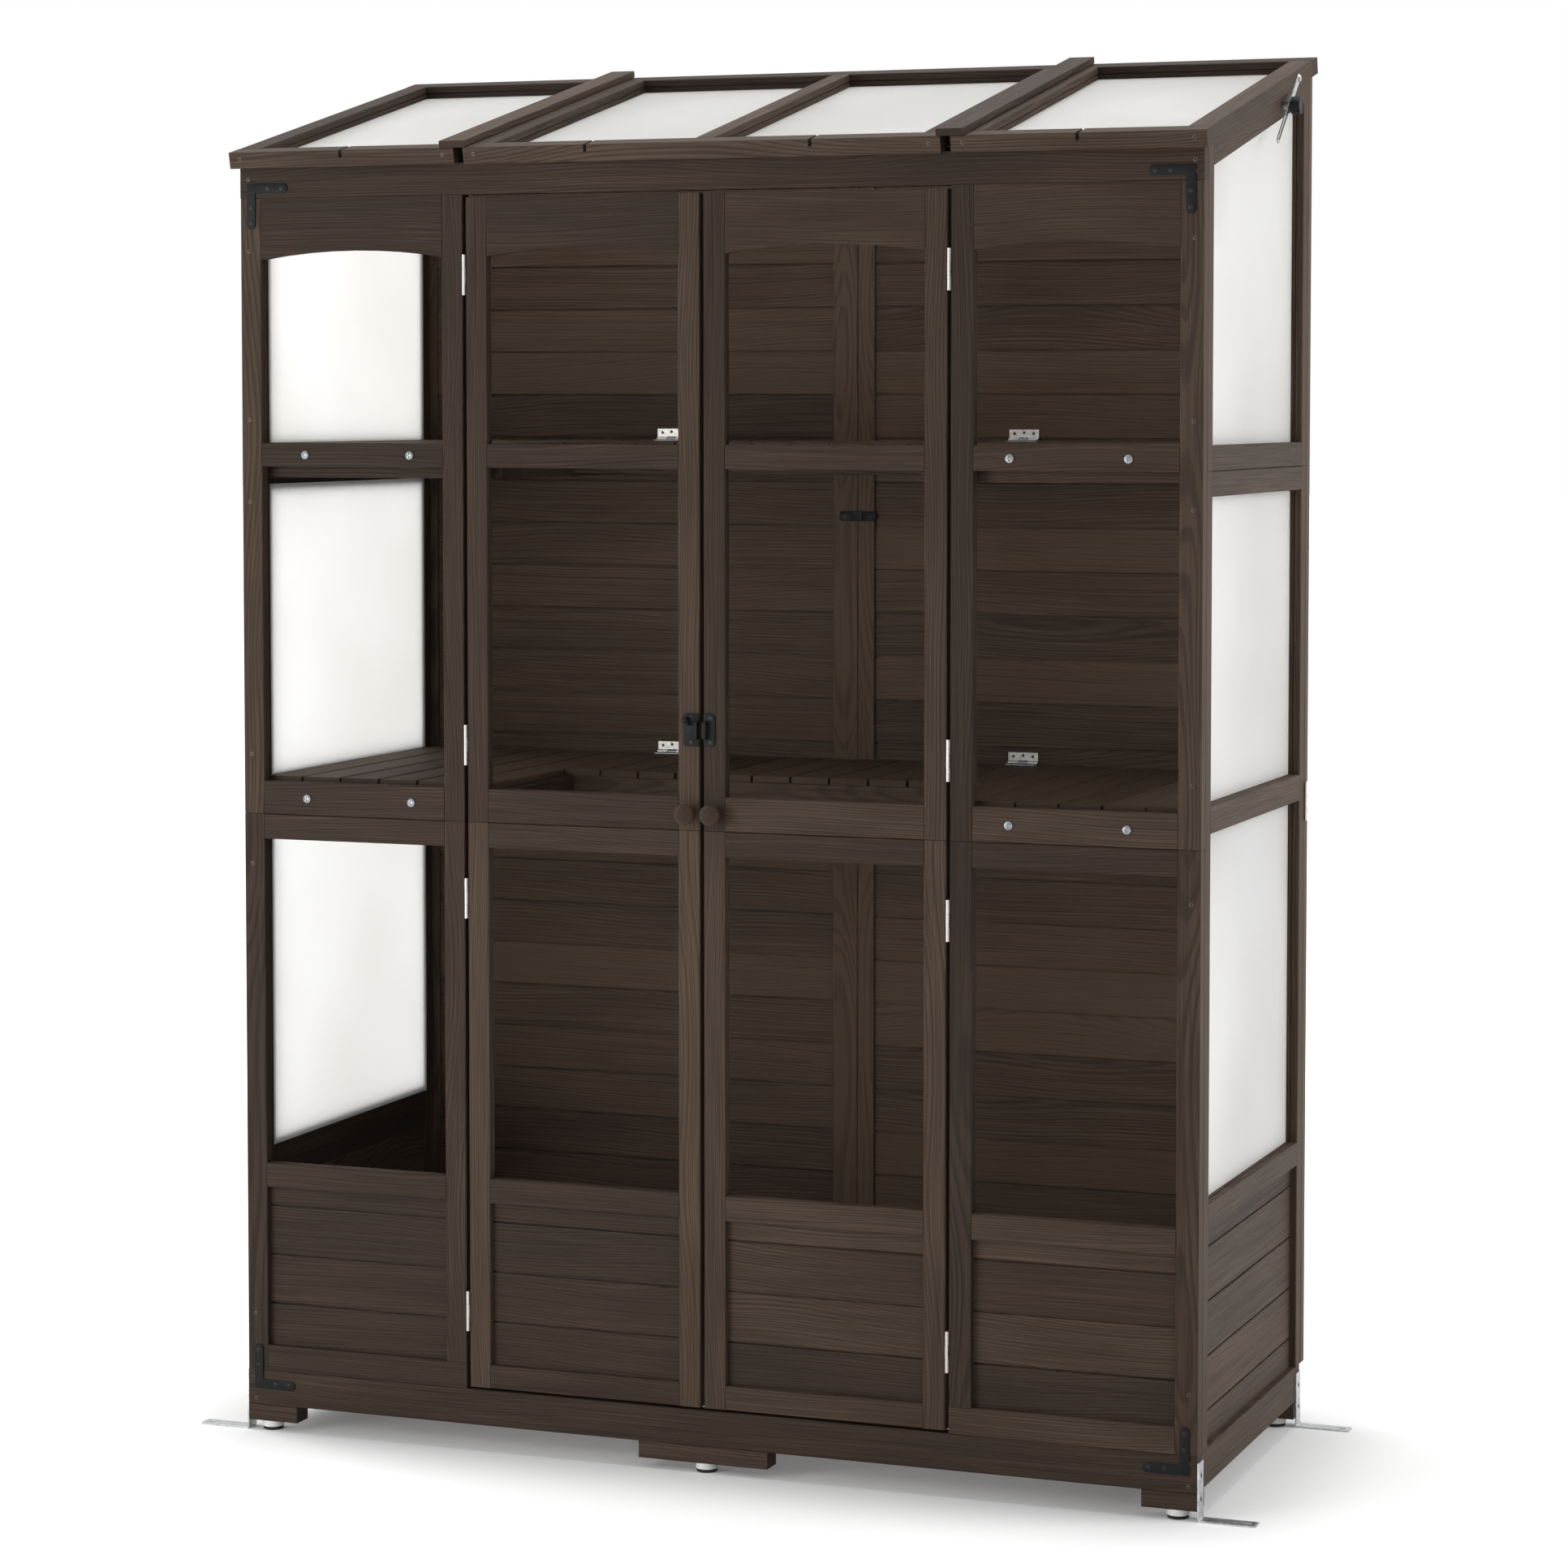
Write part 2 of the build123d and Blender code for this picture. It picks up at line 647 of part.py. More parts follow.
# Back wall of two panels
back_y = (back_inner, cabinet_depth)
seam_half = back_seam_gap / 2
left_seam = back_seam_offset - seam_half
right_seam = back_seam_offset + seam_half
left_field = (back_outer_stile_width - half_width, left_seam - back_left_stile_width)
right_field = (right_seam + back_right_stile_width, half_width - back_outer_stile_width)
with BuildPart() as back_stiles:
    back_stile_spans = (
        (-half_width, left_field[0]),
        (left_field[1], left_seam),
        (right_seam, right_field[0]),
        (right_field[1], half_width),
    )
    for span in back_stile_spans:
        timber(span, back_y, (panel_z, above_roof_z), "z")
    split(bisect_by=roof_underside, keep=Keep.BOTTOM)

back_top_rail_z = roof_height(back_inner) - back_rail_height
back_field_z = (panel_z + back_rail_height, back_top_rail_z)
with BuildPart() as back_rails:
    for span in (left_field, right_field):
        timber(span, back_y, (panel_z, back_field_z[0]), "x")
        timber(span, back_y, (back_top_rail_z, above_roof_z), "x")
    split(bisect_by=roof_underside, keep=Keep.BOTTOM)

with BuildPart() as back_boards:
    back_board_y = (back_board_face, back_board_face + board_thickness)
    for span in (left_field, right_field):
        boards(span, back_board_y, back_field_z, back_board_pitch, back_board_pitch, front, True)

# Fixed middle of the roof
with BuildPart() as middle_roof_stiles:
    timber((middle_pane_x[1], middle_half), (0, roof_thickness), roof_pane_span, "z", roof)
    mirror(about=Plane.YZ)
    timber((-middle_pane_x[0], middle_pane_x[0]), (0, roof_thickness), roof_pane_span, "z", roof)
    glazing(middle_pane_x, roof_pane_span, roof_thickness, roof)
    glazing((-middle_pane_x[1], -middle_pane_x[0]), roof_pane_span, roof_thickness, roof)

with BuildPart() as middle_roof_rails:
    for rail in (roof_front_rail, roof_back_rail):
        timber((-middle_half, middle_half), (0, roof_thickness), rail, "x", roof)
    glazing(middle_pane_x, roof_pane_span, roof_thickness, roof)
    glazing((-middle_pane_x[1], -middle_pane_x[0]), roof_pane_span, roof_thickness, roof)
    for drain_x in (-middle(middle_pane_x), middle(middle_pane_x)):
        drain = (drain_x - drain_width / 2, drain_x + drain_width / 2)
        block(drain, (0, drain_depth), roof_front_rail, roof, Mode.SUBTRACT)

with BuildPart() as middle_roof_panes:
    pane(middle_pane_x, roof_pane_span, roof_thickness, roof)
    mirror(about=Plane.YZ)

# Stay of a light: it turns on a screw in the light and slides on a clamped stud
stay_x = (roof_half + stay_gap, roof_half + stay_gap + stay_thickness)
pivot = roof.from_local_coords(Vector(0, roof_thickness / 2, roof_back - stay_pivot_back))
stud = right_slope.from_local_coords(Vector(roof_back - stay_stud_back, 0, -slope_rail_height / 2))
stay_run = Vector(0, stud.Y - pivot.Y, stud.Z - pivot.Z)
stay_reach = hypot(stay_run.Y, stay_run.Z)
stay_plane = Plane((stay_x[0], pivot.Y, pivot.Z), x_dir=stay_run, z_dir=(1, 0, 0))

# Opening lights: the right one is drawn and the left one mirrors it
with BuildPart() as right_light_stiles:
    for stile in ((light_x[0], light_pane_x[0]), (light_pane_x[1], light_x[1])):
        timber(stile, (0, light_thickness), roof_pane_span, "z", roof)
    glazing(light_pane_x, roof_pane_span, light_thickness, roof)
    rod((roof_half, pivot.Y, pivot.Z), 2 * stay_pivot_depth, stay_pivot_radius, "x", mode=Mode.SUBTRACT)
    batten_span = (roof_span[0] - batten_nose, roof_back)
    timber(batten_x, (-batten_thickness - batten_fit, -batten_fit), batten_span, "z", roof)

with BuildPart() as right_light_rails:
    for rail in (roof_front_rail, roof_back_rail):
        timber(light_x, (0, light_thickness), rail, "x", roof)
    glazing(light_pane_x, roof_pane_span, light_thickness, roof)
    drain = (middle(light_pane_x) - drain_width / 2, middle(light_pane_x) + drain_width / 2)
    block(drain, (0, drain_depth), roof_front_rail, roof, Mode.SUBTRACT)

with BuildPart() as right_light_pane:
    pane(light_pane_x, roof_pane_span, light_thickness, roof)

light_axis_rise = leaf_gap * tan(radians(roof_angle / 2))
light_axis = Vector(0, front_face + cabinet_depth + leaf_gap, roof_back_z + light_axis_rise)
light_hinge_x = (light_x[0] + light_hinge_inset, light_x[1] - light_hinge_inset)
with BuildPart() as right_light_fittings:
    for x in light_hinge_x:
        seat = Plane(light_axis + Vector(x, 0, 0), x_dir=(1, 0, 0), z_dir=roof_slope * -1)
        hinge_leaf(seat, light_hinge_length, light_leaf_reach, False)
    screw_start = roof_half - stay_pivot_depth
    screw_end = stay_x[1] + stay_gap
    screw_body = ((screw_start + screw_end) / 2, pivot.Y, pivot.Z)
    rod(screw_body, screw_end - screw_start, stay_pivot_radius, "x")
    screw_head = (screw_end + stay_pivot_head_height / 2, pivot.Y, pivot.Z)
    rod(screw_head, stay_pivot_head_height, stay_pivot_head_radius, "x")

with BuildPart() as right_stay:
    stay_length = stay_head + stay_reach + stay_tail
    with BuildSketch(stay_plane):
        with Locations((stay_length / 2 - stay_head, 0)):
            SlotOverall(stay_length, stay_width)
        Circle(stay_pivot_radius + pin_clearance, mode=Mode.SUBTRACT)
        slot_span = (stay_reach - stay_slot_width / 2, stay_reach + stay_tail - stay_slot_margin)
        with Locations((middle(slot_span), 0)):
            SlotOverall(size(slot_span), stay_slot_width, mode=Mode.SUBTRACT)
    extrude(amount=stay_thickness)

stud_start = half_width + stay_gap
collar_end = stay_x[0] - stay_gap
knob_start = stay_x[1] + stay_gap
with BuildPart() as right_stay_stud:
    stud_end = knob_start + stud_reach
    rod(((stud_start + stud_end) / 2, stud.Y, stud.Z), stud_end - stud_start, stud_radius, "x")
    rod(((stud_start + collar_end) / 2, stud.Y, stud.Z), collar_end - stud_start, stud_collar_radius, "x")

with BuildPart() as right_stay_knob:
    with BuildSketch(Plane((knob_start, stud.Y, stud.Z), x_dir=(0, 1, 0), z_dir=(1, 0, 0))):
        RegularPolygon(stay_knob_radius, stay_knob_lobes)
    extrude(amount=stay_knob_height)
    bore_depth = stud_reach + knuckle_gap
    bore_centre = (knob_start + bore_depth / 2, stud.Y, stud.Z)
    rod(bore_centre, bore_depth, stud_radius + pin_clearance, "x", mode=Mode.SUBTRACT)

with BuildPart() as left_light_stiles:
    mirror(right_light_stiles.part, about=Plane.YZ)
with BuildPart() as left_light_rails:
    mirror(right_light_rails.part, about=Plane.YZ)
with BuildPart() as left_light_pane:
    mirror(right_light_pane.part, about=Plane.YZ)
with BuildPart() as left_light_fittings:
    mirror(right_light_fittings.part, about=Plane.YZ)
with BuildPart() as left_stay:
    mirror(right_stay.part, about=Plane.YZ)
with BuildPart() as left_stay_stud:
    mirror(right_stay_stud.part, about=Plane.YZ)
with BuildPart() as left_stay_knob:
    mirror(right_stay_knob.part, about=Plane.YZ)

# Side shelves at both levels, carried by bearers at front and back
shelf_edge = folding_shelf_width / 2
side_shelf_x = (shelf_edge, half_width - panel_thickness - shelf_end_gap)
side_slat_y = (panel_thickness + shelf_end_gap, back_inner - shelf_end_gap)
bearer_x = (shelf_edge - beam_width / 2, side_shelf_x[1])
beam_x = (shelf_edge - beam_width / 2, shelf_edge + beam_width / 2)
front_bearer_y = (panel_thickness, panel_thickness + bearer_thickness)
back_bearer_y = (back_inner - bearer_thickness, back_inner)


# Slats side by side across a span, with equal gaps
def slats(x, y, z, count):
    pitch = (size(x) + slat_gap) / count
    for number in range(count):
        start = x[0] + number * pitch
        timber((start, start + pitch - slat_gap), y, z, "y")


with BuildPart() as side_shelf_slats:
    for top in shelf_levels.values():
        slats(side_shelf_x, side_slat_y, (top - slat_thickness, top), side_slat_count)
    mirror(about=Plane.YZ)

with BuildPart() as shelf_bearers:
    for top in shelf_levels.values():
        bearer_z = (top - slat_thickness - bearer_height, top - slat_thickness)
        timber(bearer_x, front_bearer_y, bearer_z, "x")
        timber(bearer_x, back_bearer_y, bearer_z, "x")
        beam_y = (front_bearer_y[1] + bearer_fit, back_bearer_y[0] - bearer_fit)
        timber(beam_x, beam_y, bearer_z, "y")
    for x, z in screw_places:
        rod((x, middle(front_bearer_y), z), bearer_thickness, screw_hole, "y", front, Mode.SUBTRACT)
    mirror(about=Plane.YZ)

with BuildPart() as shelf_screws:
    for x, z in screw_places:
        rod((x, screw_shank_length / 2, z), screw_shank_length, screw_shank_radius, "y", front)
        rod((x, -screw_head_height / 2, z), screw_head_height, screw_head_radius, "y", front)
    mirror(about=Plane.YZ)

# Folding shelves between the side shelves, hinged on the back wall
shelf_axis_y = back_board_face - leaf_gap
folding_x = (folding_shelf_gap - shelf_edge, shelf_edge - folding_shelf_gap)
folding_rear = shelf_axis_y - shelf_rear_gap
folding_y = (folding_rear - folding_shelf_depth, folding_rear)
folding_bearer_x = (-beam_x[0] + folding_shelf_gap, beam_x[0] - folding_shelf_gap)
apron_y = (folding_y[0], folding_y[0] + apron_thickness)
batten_y = (folding_rear - bearer_thickness - apron_thickness, folding_rear - bearer_thickness)


def folding_slats(top):
    slats(folding_x, folding_y, (top - slat_thickness + folding_seat_gap, top), folding_slat_count)


def folding_battens(top):
    under = top - slat_thickness + folding_seat_gap
    for span in (apron_y, batten_y):
        timber(folding_bearer_x, span, (under - apron_height, under), "x")


def folding_leaves(top):
    for x in (-shelf_hinge_offset, shelf_hinge_offset):
        pin = Vector(x, front_face + shelf_axis_y, top + leaf_gap)
        seat = Plane(pin, x_dir=(1, 0, 0), z_dir=(0, 0, -1))
        hinge_leaf(seat, shelf_hinge_length, shelf_leaf_reach, False)


with BuildPart() as lower_folding_slats:
    folding_slats(lower_shelf_z)
with BuildPart() as lower_folding_battens:
    folding_battens(lower_shelf_z)
with BuildPart() as lower_folding_leaves:
    folding_leaves(lower_shelf_z)
with BuildPart() as upper_folding_slats:
    folding_slats(upper_shelf_z)
with BuildPart() as upper_folding_battens:
    folding_battens(upper_shelf_z)
with BuildPart() as upper_folding_leaves:
    folding_leaves(upper_shelf_z)

# Fixed leaves of all hinges, and the closed hinges on which the back panels fold for packing
corner_hinge_z = panel_z + corner_hinge_rise
with BuildPart() as fixed_leaves:
    for z in door_hinge_z:
        seat = Plane((*door_axis, z), x_dir=(0, 0, -1), z_dir=(1, 0, 0))
        hinge_leaf(seat, door_hinge_length, door_leaf_reach, True)
    for top in shelf_levels.values():
        pin = Vector(shelf_hinge_offset, front_face + shelf_axis_y, top + leaf_gap)
        seat = Plane(pin, x_dir=(-1, 0, 0), z_dir=(0, 1, 0))
        hinge_leaf(seat, shelf_hinge_length, shelf_leaf_reach, True)
    for x in light_hinge_x:
        seat = Plane(light_axis + Vector(x, 0, 0), x_dir=(-1, 0, 0), z_dir=(0, -1, 0))
        hinge_leaf(seat, light_hinge_length, light_leaf_reach, True)
    corner_z = (corner_hinge_z - corner_hinge_length / 2, corner_hinge_z + corner_hinge_length / 2)
    corner_x = (half_width - corner_leaf_width, half_width + knuckle_radius)
    block(corner_x, (side_end, back_inner), corner_z, front)
    barrel = (half_width + knuckle_radius, side_end + corner_seam / 2, corner_hinge_z)
    rod(barrel, corner_hinge_length, knuckle_radius, "z", front)
    mirror(about=Plane.YZ)


# A flat angle plate with rounded ends, on the front face
def corner_plate(corner_x, corner_z, way):
    reach = corner_plate_leg - corner_plate_width / 2
    with BuildSketch(Plane.XZ.offset(-front_face)) as outline:
        with BuildLine():
            Polyline((corner_x - reach, corner_z), (corner_x, corner_z), (corner_x, corner_z - way * reach))
        trace(line_width=corner_plate_width)
    extrude(outline.sketch, amount=plate_thickness)


# Corner plates on the front face and connectors inside, at the back seam and the side seams
connector_z = mid_rail_z[0] - connector_drop
seam_plate_z = (connector_z - connector_height / 2, connector_z + connector_height / 2)
seam_plate_x = (back_seam_offset - connector_length / 2, back_seam_offset + connector_length / 2)
side_plate_start = side_opening[0] - side_connector_lap
side_plate_y = (side_plate_start, side_plate_start + side_connector_length)
side_seam_z = middle((side_split_rail_z[1], side_upper_z))
side_plate_z = (side_seam_z - connector_height / 2, side_seam_z + connector_height / 2)
with BuildPart() as joint_plates:
    plate_centre_x = half_width - corner_plate_inset - corner_plate_width / 2
    corner_plate(plate_centre_x, header_z[1] - corner_plate_drop - corner_plate_width / 2, 1)
    corner_plate(plate_centre_x, base_z + corner_plate_drop + corner_plate_width / 2, -1)
    block((base_inner - plate_thickness, base_inner), side_plate_y, side_plate_z, front)
    mirror(about=Plane.YZ)
    block(seam_plate_x, (back_inner - plate_thickness, back_inner), seam_plate_z, front)

with BuildPart() as ground_anchors:
    for anchor_y in ((0, anchor_width), (base_depth - anchor_width, base_depth)):
        block((half_width, half_width + anchor_thickness), anchor_y, (0, anchor_leg), front)
        block((half_width, half_width + anchor_leg), anchor_y, (0, anchor_thickness), front)
        hole_x = half_width + anchor_leg - anchor_hole_inset
        hole_place = (hole_x, middle(anchor_y), anchor_thickness / 2)
        rod(hole_place, anchor_thickness, anchor_hole_radius, "z", front, Mode.SUBTRACT)
    mirror(about=Plane.YZ)

pieces = {
    "bay_stiles": bay_stiles,
    "bay_rails": bay_rails,
    "bay_panes": bay_panes,
    "bay_boards": bay_boards,
    "cross_rails": cross_rails,
    "foot_blocks": foot_blocks,
    "foot_glides": foot_glides,
    "side_stiles": side_stiles,
    "side_rails": side_rails,
    "side_panes": side_panes,
    "side_boards": side_boards,
    "back_stiles": back_stiles,
    "back_rails": back_rails,
    "back_boards": back_boards,
    "joint_plates": joint_plates,
    "ground_anchors": ground_anchors,
    "shelf_bearers": shelf_bearers,
    "shelf_screws": shelf_screws,
    "side_shelf_slats": side_shelf_slats,
    "fixed_leaves": fixed_leaves,
    "middle_roof_stiles": middle_roof_stiles,
    "middle_roof_rails": middle_roof_rails,
    "middle_roof_panes": middle_roof_panes,
    "left_door_stiles": left_door_stiles,
    "left_door_rails": left_door_rails,
    "left_door_panes": left_door_panes,
    "left_door_boards": left_door_boards,
    "left_door_plates": left_door_plates,
    "left_door_knob": left_door_knob,
    "left_door_leaves": left_door_leaves,
    "latch_case": latch_case,
    "latch_bolt": latch_bolt,
    "right_door_stiles": right_door_stiles,
    "right_door_rails": right_door_rails,
    "right_door_panes": right_door_panes,
    "right_door_boards": right_door_boards,
    "right_door_plates": right_door_plates,
    "right_door_knob": right_door_knob,
    "right_door_leaves": right_door_leaves,
    "latch_keeper": latch_keeper,
    "left_light_stiles": left_light_stiles,
    "left_light_rails": left_light_rails,
    "left_light_pane": left_light_pane,
    "left_light_fittings": left_light_fittings,
    "left_stay": left_stay,
    "left_stay_stud": left_stay_stud,
    "left_stay_knob": left_stay_knob,
    "right_light_stiles": right_light_stiles,
    "right_light_rails": right_light_rails,
    "right_light_pane": right_light_pane,
    "right_light_fittings": right_light_fittings,
    "right_stay": right_stay,
    "right_stay_stud": right_stay_stud,
    "right_stay_knob": right_stay_knob,
    "lower_folding_slats": lower_folding_slats,
    "lower_folding_battens": lower_folding_battens,
    "lower_folding_leaves": lower_folding_leaves,
    "upper_folding_slats": upper_folding_slats,
    "upper_folding_battens": upper_folding_battens,
    "upper_folding_leaves": upper_folding_leaves,
}

os.makedirs("parts", exist_ok=True)
for name, piece in pieces.items():
    piece.part.label = name
    export_step(piece.part, f"parts/{name}.step")
print(len(pieces), "pieces, front face at", round(front_face, 3))
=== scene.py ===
import math
import bmesh
import bpy
from mathutils import Matrix


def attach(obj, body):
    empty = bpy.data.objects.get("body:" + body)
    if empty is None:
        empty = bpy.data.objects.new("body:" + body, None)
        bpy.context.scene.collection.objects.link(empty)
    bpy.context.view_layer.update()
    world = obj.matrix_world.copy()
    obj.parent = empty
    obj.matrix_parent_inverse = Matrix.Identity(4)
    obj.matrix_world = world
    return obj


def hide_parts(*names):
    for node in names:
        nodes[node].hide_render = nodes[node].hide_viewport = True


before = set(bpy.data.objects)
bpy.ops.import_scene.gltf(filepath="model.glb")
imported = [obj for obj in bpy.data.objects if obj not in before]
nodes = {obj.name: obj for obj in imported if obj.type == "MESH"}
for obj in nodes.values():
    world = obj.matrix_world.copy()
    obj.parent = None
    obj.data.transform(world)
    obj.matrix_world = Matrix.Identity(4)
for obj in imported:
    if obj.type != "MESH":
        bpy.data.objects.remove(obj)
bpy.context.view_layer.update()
scene = bpy.context.scene
print("frame loaded:", len(nodes), "nodes")

mm = 0.001
frontFace = -289.125 * mm  # front of the stiles
bodyHalf = 715 * mm  # half the width over the outer stiles
ways = {"left": -1, "right": 1}


def hexToLinear(code):
    values = []
    for start in (1, 3, 5):
        part = int(code[start:start + 2], 16) / 255
        values.append(part / 12.92 if part <= 0.04045 else ((part + 0.055) / 1.055) ** 2.4)
    return (*values, 1.0)


def addNode(tree, kind, settings=None, values=None, links=None, stops=()):
    node = tree.nodes.new(kind)
    for name, value in (settings or {}).items():
        setattr(node, name, value)
    for name, value in (values or {}).items():
        node.inputs[name].default_value = value
    for name, source in (links or {}).items():
        tree.links.new(source, node.inputs[name])
    for index, (position, code) in enumerate(stops):
        if index > 1:
            node.color_ramp.elements.new(position)
        node.color_ramp.elements[index].position = position
        node.color_ramp.elements[index].color = hexToLinear(code)
    return node


def startMaterial(name):
    material = bpy.data.materials.new(name)
    material.use_nodes = True
    material.node_tree.nodes.clear()
    return material, material.node_tree


def setMaterial(thing, material):
    thing.data.materials.clear()
    thing.data.materials.append(material)


# Fir under a matt dark stain: growth rings cut lengthwise give long lines and pointed arches,
# the stain sinks into the soft wood between them and leaves fine fibres and a dull sheen.
stain = {
    "tones": [(0.18, "#281e17"), (0.52, "#3b2f26"), (0.92, "#544538")],
    "knot": "#1a1410",
    "endGrain": "#281e17",
    "endShare": 0.5,
    "ringWidth": 3.6 * mm,
    "spell": 14 * mm,  # wide and narrow years alternate over this depth
    "spellYears": 3.0,
    "season": [(0.0, 0.08), (0.45, 0.15), (0.82, 1.0), (1.0, 0.10)],  # dark late wood at the end of a year
    "pithAside": 45 * mm,
    "pithDepth": (25 * mm, 75 * mm),
    "wander": 52 * mm,
    "wanderLength": 700 * mm,
    # length along the grain, width and depth (mm); real fibres are finer, and this coarse they show
    "patterns": {"ripple": (250, 1000 / 45, 1000 / 45), "fibre": (220, 2.2, 2.2), "cloud": (260, 60, 60),
                 "knot": (230, 230 / 3, math.inf)},
    "rippleDepth": 3 * mm,
    "knotEdge": (0.012, 0.05),
    "knotRarity": 0.72,
    "shuffle": 9.0,  # metres by which the timbers are drawn from different logs
    "startTone": -0.30,
    "fibreTone": 0.8,
    "cloudTone": 0.62,
    "lateTone": -0.46,
    "timberTone": 0.34,
    "relief": 0.5 * mm,
    "reliefStrength": 0.4,
    "lateRelief": 0.6,
    "roughness": (0.76, 0.56),
    "sheen": 0.16,
}
cellMiddle = (0.5, 0.5, 0.5)


# along is the grain's axis, cell and shift (mm) part the timbers of a node, so that each has its own figure
def stainedFir(name, along, cell, shift, mirrored=False, tilt=0, tiltAbove=0, lift=0.0):
    material, tree = startMaterial(name)
    cellSize = [value * mm for value in cell]
    coords = addNode(tree, "ShaderNodeTexCoord")
    place = coords.outputs["Object"]
    if tilt:
        turned = addNode(tree, "ShaderNodeVectorRotate", {"rotation_type": "X_AXIS"},
                         {"Angle": math.radians(tilt)}, {"Vector": place})
        height = addNode(tree, "ShaderNodeSeparateXYZ", links={0: place})
        isAbove = addNode(tree, "ShaderNodeMath", {"operation": "GREATER_THAN"}, {1: tiltAbove * mm},
                          {0: height.outputs["Z"]})
        place = addNode(tree, "ShaderNodeMix", {"data_type": "VECTOR"},
                        links={0: isAbove.outputs[0], 4: place, 5: turned.outputs[0]}).outputs[1]
    spot = place
    if mirrored:
        both = addNode(tree, "ShaderNodeVectorMath", {"operation": "ABSOLUTE"}, links={0: place})
        side = addNode(tree, "ShaderNodeSeparateXYZ", links={0: both.outputs[0]})
        rest = addNode(tree, "ShaderNodeSeparateXYZ", links={0: place})
        spot = addNode(tree, "ShaderNodeCombineXYZ",
                       links={0: side.outputs[0], 1: rest.outputs[1], 2: rest.outputs[2]}).outputs[0]
    moved = addNode(tree, "ShaderNodeVectorMath", {"operation": "SUBTRACT"},
                    {1: [value * mm for value in shift]}, {0: spot})
    counted = addNode(tree, "ShaderNodeVectorMath", {"operation": "DIVIDE"}, {1: cellSize}, {0: moved.outputs[0]})
    number = addNode(tree, "ShaderNodeVectorMath", {"operation": "FLOOR"}, links={0: counted.outputs[0]})
    part = addNode(tree, "ShaderNodeVectorMath", {"operation": "FRACTION"}, links={0: counted.outputs[0]})
    centred = addNode(tree, "ShaderNodeVectorMath", {"operation": "SUBTRACT"}, {1: cellMiddle}, {0: part.outputs[0]})
    within = addNode(tree, "ShaderNodeVectorMath", {"operation": "MULTIPLY"}, {1: cellSize}, {0: centred.outputs[0]})
    chance = addNode(tree, "ShaderNodeTexWhiteNoise", {"noise_dimensions": "3D"}, links={"Vector": number.outputs[0]})
    draw = addNode(tree, "ShaderNodeSeparateColor", links={0: chance.outputs["Color"]})

    # the section of the timber is read across the grain, the run along it
    order = {"x": (0, 1, 2), "y": (1, 0, 2), "z": (2, 0, 1)}[along]
    whole = addNode(tree, "ShaderNodeSeparateXYZ", links={0: place})
    section = addNode(tree, "ShaderNodeSeparateXYZ", links={0: within.outputs[0]})
    run = addNode(tree, "ShaderNodeMath", {"operation": "MULTIPLY_ADD"}, {1: stain["shuffle"]},
                  {0: chance.outputs["Value"], 2: whole.outputs[order[0]]}).outputs[0]
    timber = addNode(tree, "ShaderNodeCombineXYZ",
                     links={0: run, 1: section.outputs[order[1]], 2: section.outputs[order[2]]}).outputs[0]

    # the pith lies behind or beside the face and wanders along the timber
    bend = addNode(tree, "ShaderNodeTexNoise", {"noise_dimensions": "1D"},
                   {"Scale": 1 / stain["wanderLength"], "Detail": 1.0}, {"W": run})
    sway = addNode(tree, "ShaderNodeVectorMath", {"operation": "SUBTRACT"}, {1: cellMiddle},
                   {0: bend.outputs["Color"]})
    pithPull = addNode(tree, "ShaderNodeVectorMath", {"operation": "SCALE"}, {"Scale": stain["wander"]},
                       {0: sway.outputs[0]})
    aside = addNode(tree, "ShaderNodeMapRange",
                    values={"To Min": -stain["pithAside"], "To Max": stain["pithAside"]},
                    links={"Value": draw.outputs[0]})
    behind = addNode(tree, "ShaderNodeMapRange",
                     values={"To Min": stain["pithDepth"][0], "To Max": stain["pithDepth"][1]},
                     links={"Value": draw.outputs[1]})
    pith = addNode(tree, "ShaderNodeCombineXYZ", links={1: aside.outputs[0], 2: behind.outputs[0]})
    swayed = addNode(tree, "ShaderNodeVectorMath", {"operation": "ADD"},
                     links={0: pith.outputs[0], 1: pithPull.outputs[0]})
    fromPith = addNode(tree, "ShaderNodeVectorMath", {"operation": "SUBTRACT"},
                       links={0: timber, 1: swayed.outputs[0]})
    flat = addNode(tree, "ShaderNodeVectorMath", {"operation": "MULTIPLY"}, {1: (0, 1, 1)}, {0: fromPith.outputs[0]})
    radius = addNode(tree, "ShaderNodeVectorMath", {"operation": "LENGTH"}, links={0: flat.outputs[0]})

    # uneven growth, then the years with their dark late wood
    spread = {pattern: addNode(tree, "ShaderNodeMapping", values={"Scale": [1 / (size * mm) for size in sizes]},
                               links={"Vector": timber}).outputs[0]
              for pattern, sizes in stain["patterns"].items()}
    ripple = addNode(tree, "ShaderNodeTexNoise", values={"Scale": 1.0, "Detail": 2.0},
                     links={"Vector": spread["ripple"]})
    grown = addNode(tree, "ShaderNodeMath", {"operation": "MULTIPLY_ADD"}, {1: stain["rippleDepth"]},
                    {0: ripple.outputs["Fac"], 2: radius.outputs["Value"]})
    years = addNode(tree, "ShaderNodeMath", {"operation": "DIVIDE"}, {1: stain["ringWidth"]}, {0: grown.outputs[0]})
    pace = addNode(tree, "ShaderNodeTexNoise", {"noise_dimensions": "1D"},
                   {"Scale": 1 / stain["spell"], "Detail": 1.0}, {"W": grown.outputs[0]})
    paced = addNode(tree, "ShaderNodeMath", {"operation": "MULTIPLY_ADD"}, {1: stain["spellYears"]},
                    {0: pace.outputs["Fac"], 2: years.outputs[0]})
    season = addNode(tree, "ShaderNodeMath", {"operation": "FRACT"}, links={0: paced.outputs[0]})
    late = addNode(tree, "ShaderNodeFloatCurve", links={"Value": season.outputs[0]})
    first, *between, last = stain["season"]
    curve = late.mapping.curves[0]
    curve.points[0].location = first
    curve.points[1].location = last
    for point in between:
        curve.points.new(*point)
    late.mapping.update()

